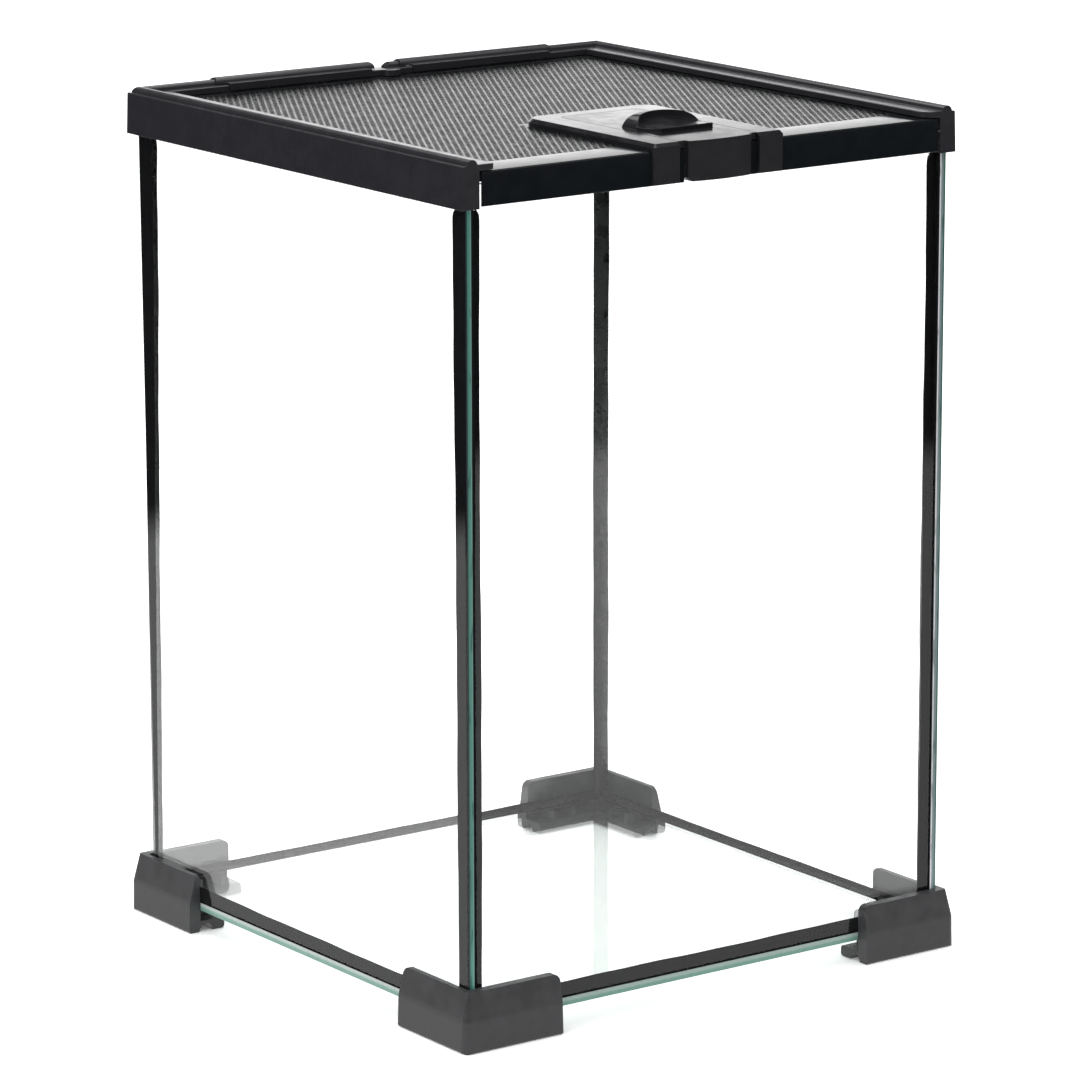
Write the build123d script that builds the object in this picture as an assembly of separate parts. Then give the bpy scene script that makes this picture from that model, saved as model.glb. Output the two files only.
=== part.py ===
from build123d import *
import os

# Reptile terrarium: a tall glass tank on four corner feet, with a moulded top
# frame, a perforated lid that slides out towards the front, and a thumb latch.
#
# Frame: X right along the front, Y towards the back, Z up, millimetres.
# The origin is on the floor, in the middle of the overall box.

CUT = 1.0                     # how far a cutter runs past what it cuts
TOUCH = 0.01                  # tolerance when edges are picked by their place

# ---------------------------------------------------------------- glass tank
TANK_WIDTH = 201.4            # across the outer faces of the side panes
TANK_DEPTH = 200.0            # across the outer faces of the front and rear panes
PANE = 3.0                    # thickness of every pane
WALL_HEIGHT = 283.0           # side and rear panes, above their bottom bond
FRONT_PANE_DROP = 3.8         # the front pane ends this much lower than the sides
BASE_LIFT = 7.8               # underside of the base pane above the floor

# ------------------------------------------------------------------ silicone
CORNER_BOND = 0.5             # between the front or rear pane and a side pane
BASE_BOND = 0.4               # between the base pane and the panes on it
CORNER_SEAL_SIDE = 5.6        # reach of the corner fillet along a side pane
CORNER_SEAL_END = 4.0         # reach of the corner fillet along the front or rear pane
BASE_SEAL_NEAR = 4.6          # reach of the base fillet at the front and left
BASE_SEAL_FAR = 2.3           # reach of the base fillet at the rear and right
SEAL_HOLLOW = 0.14            # depth of a fillet's hollow, as a share of its chord
SEAL_TO_RAIL = 0.3            # corner fillets stop this far below the top frame

# ---------------------------------------------------------------------- feet
FOOT_HEIGHT = 20.8
FOOT_LEG = 40.0               # length of each leg of the L, from the outer corner
FOOT_WALL_SIDE = 4.8          # wall beside the side pane, at the floor
FOOT_WALL_FRONT = 5.4         # wall before the front pane, at the floor
FOOT_FIT = 0.1                # gap between a foot and the glass
FOOT_BREAK = 11.0             # height where the outer faces start to lean
FOOT_DRAFT = 0.35             # inset of the outer faces at the break
FOOT_LEAN_SIDE = 2.9          # inset of the side face at the top
FOOT_LEAN_FRONT = 2.15        # inset of the front face at the top
FOOT_BREAK_RADIUS = 14.0      # the break is this soft
FOOT_TOE_RADIUS = 1.0         # rounding of the lower edge
FOOT_PLATE = 4.0              # thickness of the plate under the tank
FOOT_PLATE_REACH = 14.8       # width of that plate, from the outer face
FOOT_PLATE_EDGE = 1.3         # rounding of the plate's inner edge
FOOT_END_RADIUS = 2.5         # rounded upper corner of each leg's end
FOOT_CORNER_LOW = 3.2         # rounding of the outer corner at the floor
FOOT_CORNER_BREAK = 2.6       # the same at the break
FOOT_CORNER_TOP = 0.8         # the same at the top
FOOT_ARCH_RADIUS = 2.75       # half-round notch under each leg's end
FOOT_ARCH_INSET = 7.0         # centre of the notch, from the outer face
FOOT_ARCH_LENGTH = 12.0       # how far the notch runs along the leg
FOOT_RIB = 1.8                # thickness of the ribs that carry the base pane
FOOT_RIB_COUNT = 2            # ribs in each leg
FOOT_RIB_SETBACK = 6.0        # first rib, from the leg's end

# ----------------------------------------------------------------- top frame
RAIL_FIT = 0.1                # gap between the frame's channel and the glass
SKIRT_SIDE = 2.2              # wall outside the side panes
SKIRT_END = 2.0               # wall outside the rear pane and the front ends
SKIRT_DRAFT = 0.5             # the skirt leans in by this much at the ledge
SKIRT_DEPTH = 14.3            # from the ledge down to the skirt's lower edge
LEDGE_ABOVE_GLASS = 2.9       # outer ledge, above the top of the side panes
SKIRT_ROUND = 0.5             # rounding of the ledge's outer edge
INNER_LEG = 1.5               # wall inside the panes
BEAD_RADIUS = 2.2             # round bead that runs along the frame
BEAD_SINK = 0.2               # centre of the bead, below the ledge
BEAD_INSET_SIDE = 4.0         # centre of the bead, from the side's outer face
BEAD_INSET_REAR = 2.9         # centre of the bead, from the rear's outer face
FLANGE_TOP_RISE = 0.25        # top of the inner flange, above the ledge
FLANGE_THICKNESS = 2.05
FLANGE_REACH_SIDE = 13.0      # inner edge of the side flange, from the outer face
FLANGE_REACH_REAR = 8.6       # inner edge of the rear flange, from the outer face
FLANGE_CORNER_LEFT = 1.5      # plan rounding at the front end of the left flange
FLANGE_CORNER_RIGHT = 5.0     # plan rounding at the front end of the right flange
FLANGE_EDGE_ROUND = 0.5       # rounding along the flange's upper inner edge
SHELF_REACH = 4.8             # shelf under the lid sheet, from the inner leg
SHELF_THICKNESS = 2.6
LUG_PLACE = 3.15              # half-round stop between the covers, along X
LUG_RADIUS = 3.6

# ----------------------------------------------------------------------- lid
SHEET = 0.7                   # sheet metal thickness
SHEET_GAP_UNDER = 0.2         # between the shelf and the sheet
SHEET_GAP_OVER = 0.3          # between the sheet and the flange
SHEET_GAP_SIDE = 1.7          # between the sheet's edge and the inner leg
SHEET_GAP_REAR = 0.8          # between the sheet and the rear inner leg
LIP_DEPTH = 11.5              # folded front edge, from the sheet's top face
LIP_BEND = 1.0                # outer radius of the fold
LIP_TO_SHELF = 0.4            # shelves start this far behind the lip
MESH_SIDE = 87.0              # half width of the pierced field
MESH_FRONT = 15.3             # pierced field, behind the face of the lip
MESH_REAR = 4.0               # pierced field, before the sheet's rear edge
MESH_ACROSS = 12              # openings across the field
MESH_DEEP = 13                # openings from front to rear
MESH_OPEN = 0.62              # an opening's share of its pitch, each way
MESH_CLEAR = 1.2              # solid sheet left round the latch

# --------------------------------------------------------------------- latch
HOUSING_WIDTH = 54.3
HOUSING_THICKNESS = 2.5
HOUSING_REAR = 73.8           # rear edge, behind the face of the lip
HOUSING_CORNER = 7.0          # plan rounding of the two rear corners
HOUSING_CHAMFER = 1.2         # bevel round the top edge
BLOCK_PROUD = 1.7             # front blocks stand this far before the lip
BLOCK_DEPTH = 13.6            # front blocks, from the housing's top down
BLOCK_ROUND = 1.3             # rounding of their upright front edges
WINDOW_WIDTH = 33.2           # slot in the housing that the slider runs in
WINDOW_REAR = 66.1            # rear edge of the slot, behind the face of the lip
WINDOW_CORNER = 2.5
TONGUE = 1.0                  # side tongues that hold the slider in its grooves
TONGUE_THICKNESS = 1.0
SLIDE_FIT = 0.2               # running gap round the slider
LATCH_TRAVEL = 7.0            # how far the slider can be pushed out
LATCH_STOP_GAP = 0.3          # tongues to the closed end of their grooves, pushed out
NOSE_WIDTH = 26.4             # bowed front of the slider
NOSE_PROUD = 1.9              # edges of the nose, before the face of the lip
NOSE_BOW = 1.4                # extra reach in the middle of the nose
NOSE_BACK = 1.7               # rear face of the nose, behind the face of the lip
NOSE_EDGE = 1.0               # rounding of the nose's upright edges
NOSE_CORNER = 1.8             # rounding of the nose's lower corners
LIP_NOTCH_SPARE = 0.35        # the lip is cut this much wider than the nose

# Thumb grip on the slider: part of a round bowl, with a ridge behind it.
GRIP_STEP = 16.5              # straight front step, behind the face of the lip
GRIP_AXIS = 17.5              # upright axis of the ridge, behind the face of the lip
GRIP_FRONT_HALF = 10.8        # half width at the step
GRIP_HALF = 13.2              # half width where the ridge starts
GRIP_RING_OUTER = 22.0        # radius at the foot of the ridge
GRIP_RING_BACK = 20.4         # radius where the ridge's back turns over
GRIP_RING_CREST = 16.6        # rear radius of the crest
GRIP_RING_INNER = 15.7        # radius of the upright face that the thumb pushes
GRIP_HEIGHT = 4.9             # crest above the slider
GRIP_BACK_HEIGHT = 2.9        # ridge's back, at its middle radius
GRIP_CREST_HALF = 8.2         # half width of the level part of the crest
GRIP_CREST_DROP = 0.5         # the crest falls this much towards its ends
GRIP_WAIST = 11.7             # half width of the ridge at its waist
GRIP_WAIST_HEIGHT = 2.7
GRIP_STEP_HEIGHT = 1.8        # step above the slider
GRIP_DISH_HEIGHT = 1.0        # lowest point of the dish above the slider
GRIP_LIP_HEIGHT = 2.7         # top of the dish at the upright face
GRIP_RIBS = 3                 # thin ribs along the front of the step
GRIP_RIB_REACH = 0.3
GRIP_RIB_OPEN = 0.3           # share of a rib's pitch that is groove

# ------------------------------------------------------ parts under the lid
BACKING_THICKNESS = 1.5
BACKING_FRONT = 7.1           # front edge, behind the face of the lip
BACKING_MARGIN = 1.2          # narrower than the housing on each side
SCREW_SHANK = 1.1             # radius
SCREW_HEAD = 2.4              # radius
SCREW_HEAD_HEIGHT = 1.2
SCREW_GRIP = 1.6              # how far a screw reaches into the housing
SCREW_FIT = 0.1
SCREW_INSET_SIDE = 5.2        # from the housing's side
SCREW_INSET_FRONT = 18.0      # front pair, behind the face of the lip
SCREW_INSET_REAR = 9.0        # rear pair, before the housing's rear edge

# ------------------------------------------------- covers of the cable ports
CAP_WALL = 0.5
CAP_FIT = 0.2                 # running gap between a cover and the frame
CAP_LENGTH = 67.1
CAP_END_RADIUS = 1.5          # rounded upper corners of a cover's ends
CAP_FOOT_SETBACK = 3.5        # the foot is shorter than the cover at each end
CAP_HOOK = 2.4                # the foot's hook, down over the flange's front edge
CAP_LEFT_END = -1.9           # inner end of the left cover
CAP_RIGHT_END = 9.4           # inner end of the right cover
PORT_LEFT_START = -30.0       # open stretch of the bead under the left cover
PORT_LEFT_END = 4.2
PORT_RIGHT_START = 12.0       # open stretch under the right cover
PORT_RIGHT_END = 34.0
PORT_CORNER = 1.6             # rounded corner where the bead starts again

# ---------------------------------------------------------- derived places
half_width = TANK_WIDTH / 2
half_depth = TANK_DEPTH / 2
side_inner = half_width - PANE
front_inner = half_depth - PANE
base_top = BASE_LIFT + PANE
wall_bottom = base_top + BASE_BOND
wall_top = wall_bottom + WALL_HEIGHT
front_top = wall_top - FRONT_PANE_DROP

foot_x = half_width + FOOT_FIT + FOOT_WALL_SIDE
foot_y = half_depth + FOOT_FIT + FOOT_WALL_FRONT

rail_x = half_width + RAIL_FIT + SKIRT_SIDE
rail_y = half_depth + RAIL_FIT + SKIRT_END
ledge_z = wall_top + LEDGE_ABOVE_GLASS
skirt_z = ledge_z - SKIRT_DEPTH
leg_x = side_inner - RAIL_FIT - INNER_LEG
leg_y = front_inner - RAIL_FIT - INNER_LEG
bead_z = ledge_z - BEAD_SINK
bead_x = rail_x - BEAD_INSET_SIDE
bead_y = rail_y - BEAD_INSET_REAR
flange_top = ledge_z + FLANGE_TOP_RISE
flange_bottom = flange_top - FLANGE_THICKNESS
flange_x = rail_x - FLANGE_REACH_SIDE
flange_y = rail_y - FLANGE_REACH_REAR

face_y = -rail_y              # face of the folded lip, flush with the rail ends
sheet_top = flange_bottom - SHEET_GAP_OVER
sheet_bottom = sheet_top - SHEET
shelf_top = sheet_bottom - SHEET_GAP_UNDER
sheet_x = leg_x - SHEET_GAP_SIDE
sheet_rear = leg_y - SHEET_GAP_REAR
lip_bottom = sheet_top - LIP_DEPTH

housing_top = sheet_top + HOUSING_THICKNESS
housing_x = HOUSING_WIDTH / 2
housing_rear = face_y + HOUSING_REAR
block_front = face_y - BLOCK_PROUD
block_bottom = housing_top - BLOCK_DEPTH
window_x = WINDOW_WIDTH / 2
window_rear = face_y + WINDOW_REAR
notch_x = NOSE_WIDTH / 2 + LIP_NOTCH_SPARE
notch_rear = face_y + NOSE_BACK + SLIDE_FIT
tongue_front = face_y + LATCH_TRAVEL + LATCH_STOP_GAP
groove_rear = window_rear - WINDOW_CORNER

backing_top = sheet_bottom
backing_bottom = backing_top - BACKING_THICKNESS
screw_x = housing_x - SCREW_INSET_SIDE
screw_front = face_y + SCREW_INSET_FRONT
screw_rear = housing_rear - SCREW_INSET_REAR

SIDES = {"left": -1, "right": 1}
ENDS = {"front": -1, "rear": 1}


# ------------------------------------------------------------------- helpers
def span_box(x, y, z):
    """Box from three (low, high) pairs."""
    size = [high - low for low, high in (x, y, z)]
    middle = [(high + low) / 2 for low, high in (x, y, z)]
    return Pos(*middle) * Box(*size)


def prism_along_x(outline, x0, x1):
    """Extrude a face drawn as (y, z) from x0 to x1."""
    plane = Plane(origin=(x0, 0, 0), x_dir=(0, 1, 0), z_dir=(1, 0, 0))
    return extrude(plane * outline, amount=x1 - x0)


def prism_along_y(outline, y0, y1):
    """Extrude a face drawn as (x, z) from y0 to y1."""
    plane = Plane(origin=(0, y1, 0), x_dir=(1, 0, 0), z_dir=(0, -1, 0))
    return extrude(plane * outline, amount=y1 - y0)


def prism_up(outline, z0, z1):
    """Extrude a face drawn as (x, y) from z0 to z1."""
    return extrude(Pos(0, 0, z0) * outline, amount=z1 - z0)


def outline_of(*edges):
    """Face inside a closed chain of lines and arcs."""
    return make_face(Wire(list(edges)))


def loop_of(points):
    """Face inside a polygon given by its corners."""
    return make_face(Polyline(*points, close=True))


def mirrored(solid, side, end):
    """Copy a front right piece to the given side and end."""
    if side < 0:
        solid = mirror(solid, about=Plane.YZ)
    if end > 0:
        solid = mirror(solid, about=Plane.XZ)
    return solid


def edges_at(solid, z):
    """Edges of a solid that lie wholly at one height."""
    return solid.edges().filter_by_position(Axis.Z, z - TOUCH, z + TOUCH)


def span_cylinder(x, y, radius, z0, z1):
    """Upright cylinder from z0 to z1."""
    return Pos(x, y, (z0 + z1) / 2) * Cylinder(radius, z1 - z0)


# --------------------------------------------------------------- glass panes
def glass_base():
    return span_box((-half_width, half_width), (-half_depth, half_depth),
                    (BASE_LIFT, base_top))


def glass_side(side):
    x = sorted((side * side_inner, side * half_width))
    return span_box(x, (-half_depth, half_depth), (wall_bottom, wall_top))


def glass_end(end):
    reach = side_inner - CORNER_BOND
    y = sorted((end * front_inner, end * half_depth))
    top = front_top if end < 0 else wall_top
    return span_box((-reach, reach), y, (wall_bottom, top))


# ------------------------------------------------------------------ silicone
def fillet_section(corner_u, corner_v, leg_u, leg_v):
    """Concave fillet in the corner of two faces, drawn in one plane."""
    start = (corner_u - leg_u, corner_v)
    end = (corner_u, corner_v - leg_v)
    middle = (corner_u - leg_u / 2 + SEAL_HOLLOW * leg_v,
              corner_v - leg_v / 2 + SEAL_HOLLOW * leg_u)
    return outline_of(
        Line((corner_u, corner_v), start),
        ThreePointArc(start, middle, end),
        Line(end, (corner_u, corner_v)),
    )


def base_fillet(direction, reach):
    """Section of the base fillet against a pane at the given side, and its leg."""
    leg = BASE_SEAL_FAR if direction > 0 else BASE_SEAL_NEAR
    section = Pos(reach, wall_bottom) * mirror(fillet_section(0, 0, leg, leg), about=Plane.XZ)
    return section if direction > 0 else mirror(section, about=Plane.YZ)


def seal_base():
    """Fillet round the inside of the base, with the bond under the panes."""
    hole_x = (BASE_SEAL_NEAR - side_inner, side_inner - BASE_SEAL_FAR)
    hole_y = (BASE_SEAL_NEAR - front_inner, front_inner - BASE_SEAL_FAR)
    outer = (-half_width, half_width), (-half_depth, half_depth)
    ring = span_box(*outer, (base_top, wall_bottom))
    ring -= span_box(hole_x, hole_y, (base_top - CUT, wall_bottom + CUT))
    for side in SIDES.values():
        ring += prism_along_y(base_fillet(side, side_inner), -front_inner, front_inner)
    for end in ENDS.values():
        ring += prism_along_x(base_fillet(end, front_inner), -side_inner, side_inner)
    return ring


def seal_corner(side, end, ring):
    """Bond and inner fillet where a front or rear pane meets a side pane."""
    top = front_top if end < 0 else wall_top
    bond_x = (side_inner - CORNER_BOND, side_inner)
    strip = span_box(bond_x, (-half_depth, -front_inner), (wall_bottom, top))
    section = fillet_section(side_inner, front_inner, CORNER_SEAL_END, CORNER_SEAL_SIDE)
    fillet_top = skirt_z - SEAL_TO_RAIL
    bead = prism_up(mirror(section, about=Plane.XZ), wall_bottom, fillet_top)
    return mirrored(strip + bead, side, end) - ring


# ---------------------------------------------------------------------- feet
def end_corner(radius):
    """What a rounded upper left corner leaves away, drawn below the origin."""
    square = Rectangle(radius, radius, align=(Align.MIN, Align.MAX))
    return square - Pos(radius, -radius) * Circle(radius)


def foot_profile(inner, outer, lean):
    """Section of a foot's outer form, outside to the right."""
    section = loop_of([
        (inner, 0), (outer, 0), (outer - FOOT_DRAFT, FOOT_BREAK),
        (outer - lean, FOOT_HEIGHT), (inner, FOOT_HEIGHT),
    ])
    section = fillet(section.vertices().sort_by(Axis.X)[-1], FOOT_TOE_RADIUS)
    at_break = section.vertices().filter_by_position(Axis.Y, FOOT_BREAK - TOUCH, FOOT_BREAK + TOUCH)
    return fillet(at_break, FOOT_BREAK_RADIUS)


def foot_corner_cutter():
    """What the outer corner's rounding leaves away, narrower towards the top."""
    levels = (
        (-CUT, 0, 0, FOOT_CORNER_LOW),
        (FOOT_BREAK, FOOT_DRAFT, FOOT_DRAFT, FOOT_CORNER_BREAK),
        (FOOT_HEIGHT, FOOT_LEAN_SIDE, FOOT_LEAN_FRONT, FOOT_CORNER_TOP),
        (FOOT_HEIGHT + CUT, FOOT_LEAN_SIDE, FOOT_LEAN_FRONT, FOOT_CORNER_TOP),
    )
    sections = []
    for z, side_inset, front_inset, radius in levels:
        sag = radius * (1 - 0.5 ** 0.5)
        round_off = ThreePointArc((-radius, 0), (-sag, sag), (0, radius))
        corners = [(0, radius), (CUT, radius), (CUT, -CUT), (-radius, -CUT), (-radius, 0)]
        edges = [Line(start, end) for start, end in zip(corners, corners[1:])]
        section = outline_of(round_off, *edges)
        sections.append(Pos(foot_x - side_inset, front_inset - foot_y, z) * section)
    return loft(sections, ruled=True)


def foot(side, end):
    """Corner boot: leaning walls outside the glass, a plate and ribs below."""
    inner_x = foot_x - FOOT_LEG
    inner_y = foot_y - FOOT_LEG
    body = prism_along_y(foot_profile(inner_x, foot_x, FOOT_LEAN_SIDE), -foot_y, -inner_y)
    front = mirror(foot_profile(inner_y, foot_y, FOOT_LEAN_FRONT), about=Plane.YZ)
    body &= prism_along_x(front, inner_x, foot_x)
    body -= foot_corner_cutter()

    # Everything inside the outer faces of the glass, from the base pane up.
    glass_x = half_width + FOOT_FIT
    glass_y = half_depth + FOOT_FIT
    open_x = (inner_x - CUT, glass_x)
    open_y = (-glass_y, -inner_y + CUT)
    body -= span_box(open_x, open_y, (BASE_LIFT, FOOT_HEIGHT + CUT))

    # The plate is an L, and the space between it and the base pane is open.
    plate_x = foot_x - FOOT_PLATE_REACH
    plate_y = foot_y - FOOT_PLATE_REACH
    body -= span_box((inner_x - CUT, plate_x), (-plate_y, -inner_y + CUT), (-CUT, BASE_LIFT + CUT))
    body -= span_box(open_x, open_y, (FOOT_PLATE, BASE_LIFT + CUT))
    inner_edges = (body.edges().filter_by(Axis.Y)
                   .filter_by_position(Axis.X, plate_x - TOUCH, plate_x + TOUCH))
    inner_edges += (body.edges().filter_by(Axis.X)
                    .filter_by_position(Axis.Y, -plate_y - TOUCH, -plate_y + TOUCH))
    body = fillet(inner_edges, FOOT_PLATE_EDGE)

    # The upper corner of each leg's end is rounded.
    round_off = end_corner(FOOT_END_RADIUS)
    body -= prism_along_y(Pos(inner_x, FOOT_HEIGHT) * round_off, -foot_y, -glass_y)
    body -= prism_along_x(Pos(-inner_y, FOOT_HEIGHT) * mirror(round_off, about=Plane.YZ),
                          glass_x, foot_x)

    rib_z = (FOOT_PLATE, BASE_LIFT)
    rib_span = FOOT_LEG - FOOT_PLATE_REACH - FOOT_RIB_SETBACK
    for index in range(FOOT_RIB_COUNT):
        along = FOOT_RIB_SETBACK + index * rib_span / FOOT_RIB_COUNT
        x = inner_x + along
        y = -inner_y - along
        body += span_box((x, x + FOOT_RIB), (-glass_y, -plate_y - FOOT_PLATE_EDGE), rib_z)
        body += span_box((plate_x + FOOT_PLATE_EDGE, glass_x), (y - FOOT_RIB, y), rib_z)
    crossing_x = (plate_x + FOOT_PLATE_EDGE, plate_x + FOOT_PLATE_EDGE + FOOT_RIB)
    crossing_y = (-plate_y - FOOT_PLATE_EDGE - FOOT_RIB, -plate_y - FOOT_PLATE_EDGE)
    body += span_box(crossing_x, (-glass_y, crossing_y[1]), rib_z)
    body += span_box((crossing_x[0], glass_x), crossing_y, rib_z)

    # Half-round notches run in from the ends of both legs.
    arch = Circle(FOOT_ARCH_RADIUS)
    body -= prism_along_y(Pos(foot_x - FOOT_ARCH_INSET, 0) * arch,
                          -inner_y - FOOT_ARCH_LENGTH, -inner_y)
    body -= prism_along_x(Pos(-foot_y + FOOT_ARCH_INSET, 0) * arch,
                          inner_x, inner_x + FOOT_ARCH_LENGTH)
    return mirrored(body, side, end)


# ----------------------------------------------------------------- top frame
def rail_section(outer, bead, leg, flange):
    """Section of the frame, outside to the right: skirt, bead and flange."""
    skirt = loop_of([
        (leg, skirt_z), (outer, skirt_z), (outer - SKIRT_DRAFT, ledge_z), (leg, ledge_z),
    ])
    corner = skirt.vertices().sort_by(Axis.X)[-2:].sort_by(Axis.Y)[-1]
    skirt = fillet(corner, SKIRT_ROUND)
    plate = Rectangle(bead - flange, FLANGE_THICKNESS, align=(Align.MIN, Align.MIN))
    plate = Pos(flange, flange_bottom) * plate
    edge = plate.vertices().sort_by(Axis.X)[:2].sort_by(Axis.Y)[-1]
    plate = fillet(edge, FLANGE_EDGE_ROUND)
    return skirt + plate + Pos(bead, bead_z) * Circle(BEAD_RADIUS)


def glass_channel():
    """Space that the panes take in the frame, with the fit all round."""
    outer_x = half_width + RAIL_FIT
    outer_y = half_depth + RAIL_FIT
    inner_x = side_inner - RAIL_FIT
    inner_y = front_inner - RAIL_FIT
    low = skirt_z - CUT
    top = wall_top + RAIL_FIT
    space = span_box((-outer_x, outer_x), (inner_y, outer_y), (low, top))
    space += span_box((-outer_x, outer_x), (-outer_y, -inner_y), (low, front_top + RAIL_FIT))
    for side in SIDES.values():
        x = sorted((side * inner_x, side * outer_x))
        space += span_box(x, (-outer_y, outer_y), (low, top))
    return space


def rear_zone():
    """Space of the rear rail: mitred through the crossing of the beads."""
    offset = bead_x - bead_y
    near = flange_y
    far = rail_y + FLANGE_REACH_SIDE
    plan = loop_of([
        (-near - offset, near), (near + offset, near),
        (far + offset, far), (-far - offset, far),
    ])
    return prism_up(plan, skirt_z - CUT, bead_z + BEAD_RADIUS + CUT)


def flange_corner(radius):
    """What the rounded front corner of a side flange leaves away."""
    square = Pos(flange_x, face_y) * Rectangle(radius, radius, align=(Align.MIN, Align.MIN))
    plan = square - Pos(flange_x + radius, face_y + radius) * Circle(radius)
    return prism_up(plan, flange_bottom, flange_top)


def rail_side(side):
    section = rail_section(rail_x, bead_x, leg_x, flange_x)
    rail = prism_along_y(section, -rail_y, rail_y)
    shelf_front = face_y + SHEET + LIP_TO_SHELF
    rail += span_box((leg_x - SHELF_REACH, leg_x), (shelf_front, flange_y),
                     (shelf_top - SHELF_THICKNESS, shelf_top))
    rail -= rear_zone()
    rail -= glass_channel()
    rail -= flange_corner(FLANGE_CORNER_RIGHT if side > 0 else FLANGE_CORNER_LEFT)
    return mirrored(rail, side, -1)


def port_cutter(start, end):
    """Open stretch of the bead, with rounded upper corners beyond its ends."""
    middle = (start + end) / 2
    top = bead_z + BEAD_RADIUS
    half = (end - start) / 2
    shape = loop_of([
        (-half, ledge_z), (half, ledge_z), (half, top - PORT_CORNER),
        (half + PORT_CORNER, top), (half, top + CUT), (-half, top + CUT),
        (-half - PORT_CORNER, top), (-half, top - PORT_CORNER),
    ])
    return prism_along_y(Pos(middle, 0) * shape, bead_y - BEAD_RADIUS - CUT, rail_y + CUT)


def rail_rear():
    section = rail_section(rail_y, bead_y, leg_y, flange_y)
    rail = prism_along_x(section, -rail_x - CUT, rail_x + CUT)
    rail &= rear_zone()
    rail += span_cylinder(LUG_PLACE, flange_y, LUG_RADIUS, flange_bottom, flange_top)
    rail -= glass_channel()
    rail -= port_cutter(PORT_LEFT_START, PORT_LEFT_END)
    rail -= port_cutter(PORT_RIGHT_START, PORT_RIGHT_END)
    return rail


def cable_cap(inner_end, direction):
    """Thin cover that slides along the bead, with a foot hooked over the flange."""
    inner_radius = BEAD_RADIUS + CAP_FIT
    outer_radius = inner_radius + CAP_WALL
    outer_end = inner_end + direction * CAP_LENGTH
    span = sorted((inner_end, outer_end))
    shell = Pos(bead_y, bead_z) * (Circle(outer_radius) - Circle(inner_radius))
    foot_z = flange_top + CAP_FIT
    shell_top = bead_z + outer_radius
    across = (bead_y - outer_radius, bead_y + outer_radius)
    cap = prism_along_x(shell, *span) & span_box(span, across, (foot_z, shell_top))
    cap &= prism_along_y(cap_window(span, shell_top), *across)

    inner_face = bead_y - (inner_radius ** 2 - (foot_z - bead_z) ** 2) ** 0.5
    hook_y = flange_y - CAP_FIT
    foot_span = (span[0] + CAP_FOOT_SETBACK, span[1] - CAP_FOOT_SETBACK)
    foot_front = hook_y - CAP_WALL
    foot_top = foot_z + CAP_WALL
    cap += span_box(foot_span, (foot_front, inner_face - CAP_WALL / 2), (foot_z, foot_top))
    cap += span_box(foot_span, (foot_front, hook_y), (foot_top - CAP_HOOK, foot_top))
    return cap


def cap_window(span, top):
    """Front view of a cover: a strip with rounded upper corners."""
    height = 2 * (BEAD_RADIUS + CAP_FIT + CAP_WALL)
    strip = RectangleRounded(CAP_LENGTH, 2 * height, CAP_END_RADIUS)
    return Pos((span[0] + span[1]) / 2, top - height) * strip


# ----------------------------------------------------------------------- lid
def lid_sheet():
    """Sheet with its front edge folded down, notched behind the nose."""
    bend_y = face_y + LIP_BEND
    bend_z = sheet_top - LIP_BEND
    inner = LIP_BEND - SHEET
    section = outline_of(
        Line((sheet_rear, sheet_bottom), (sheet_rear, sheet_top)),
        Line((sheet_rear, sheet_top), (bend_y, sheet_top)),
        RadiusArc((bend_y, sheet_top), (face_y, bend_z), LIP_BEND),
        Line((face_y, bend_z), (face_y, lip_bottom)),
        Line((face_y, lip_bottom), (face_y + SHEET, lip_bottom)),
        Line((face_y + SHEET, lip_bottom), (face_y + SHEET, bend_z)),
        RadiusArc((face_y + SHEET, bend_z), (bend_y, sheet_bottom), -inner),
        Line((bend_y, sheet_bottom), (sheet_rear, sheet_bottom)),
    )
    sheet = prism_along_x(section, -sheet_x, sheet_x)
    sheet -= span_box((-notch_x, notch_x), (face_y - CUT, notch_rear),
                      (lip_bottom - CUT, sheet_top + CUT))
    for x, y in screw_places():
        sheet -= span_cylinder(x, y, SCREW_SHANK + SCREW_FIT, sheet_bottom - CUT, sheet_top + CUT)
    openings = Plane(origin=(0, 0, sheet_bottom - CUT)) * mesh_openings()
    return sheet - extrude(openings, amount=SHEET + 2 * CUT)


def mesh_openings():
    """Plain grid of openings over the field that is pierced, clear of the latch."""
    pitch_x = 2 * MESH_SIDE / MESH_ACROSS
    front = face_y + MESH_FRONT
    pitch_y = (sheet_rear - MESH_REAR - front) / MESH_DEEP
    opening = Rectangle(MESH_OPEN * pitch_x, MESH_OPEN * pitch_y)
    clear_x = housing_x + MESH_CLEAR + MESH_OPEN * pitch_x / 2
    clear_y = housing_rear + MESH_CLEAR + MESH_OPEN * pitch_y / 2
    places = [
        ((column + 0.5) * pitch_x - MESH_SIDE, front + (row + 0.5) * pitch_y)
        for column in range(MESH_ACROSS) for row in range(MESH_DEEP)
    ]
    return Sketch() + [
        Pos(x, y) * opening for x, y in places if abs(x) > clear_x or y > clear_y
    ]


def screw_places():
    return [(side * screw_x, y) for side in SIDES.values() for y in (screw_front, screw_rear)]


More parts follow.
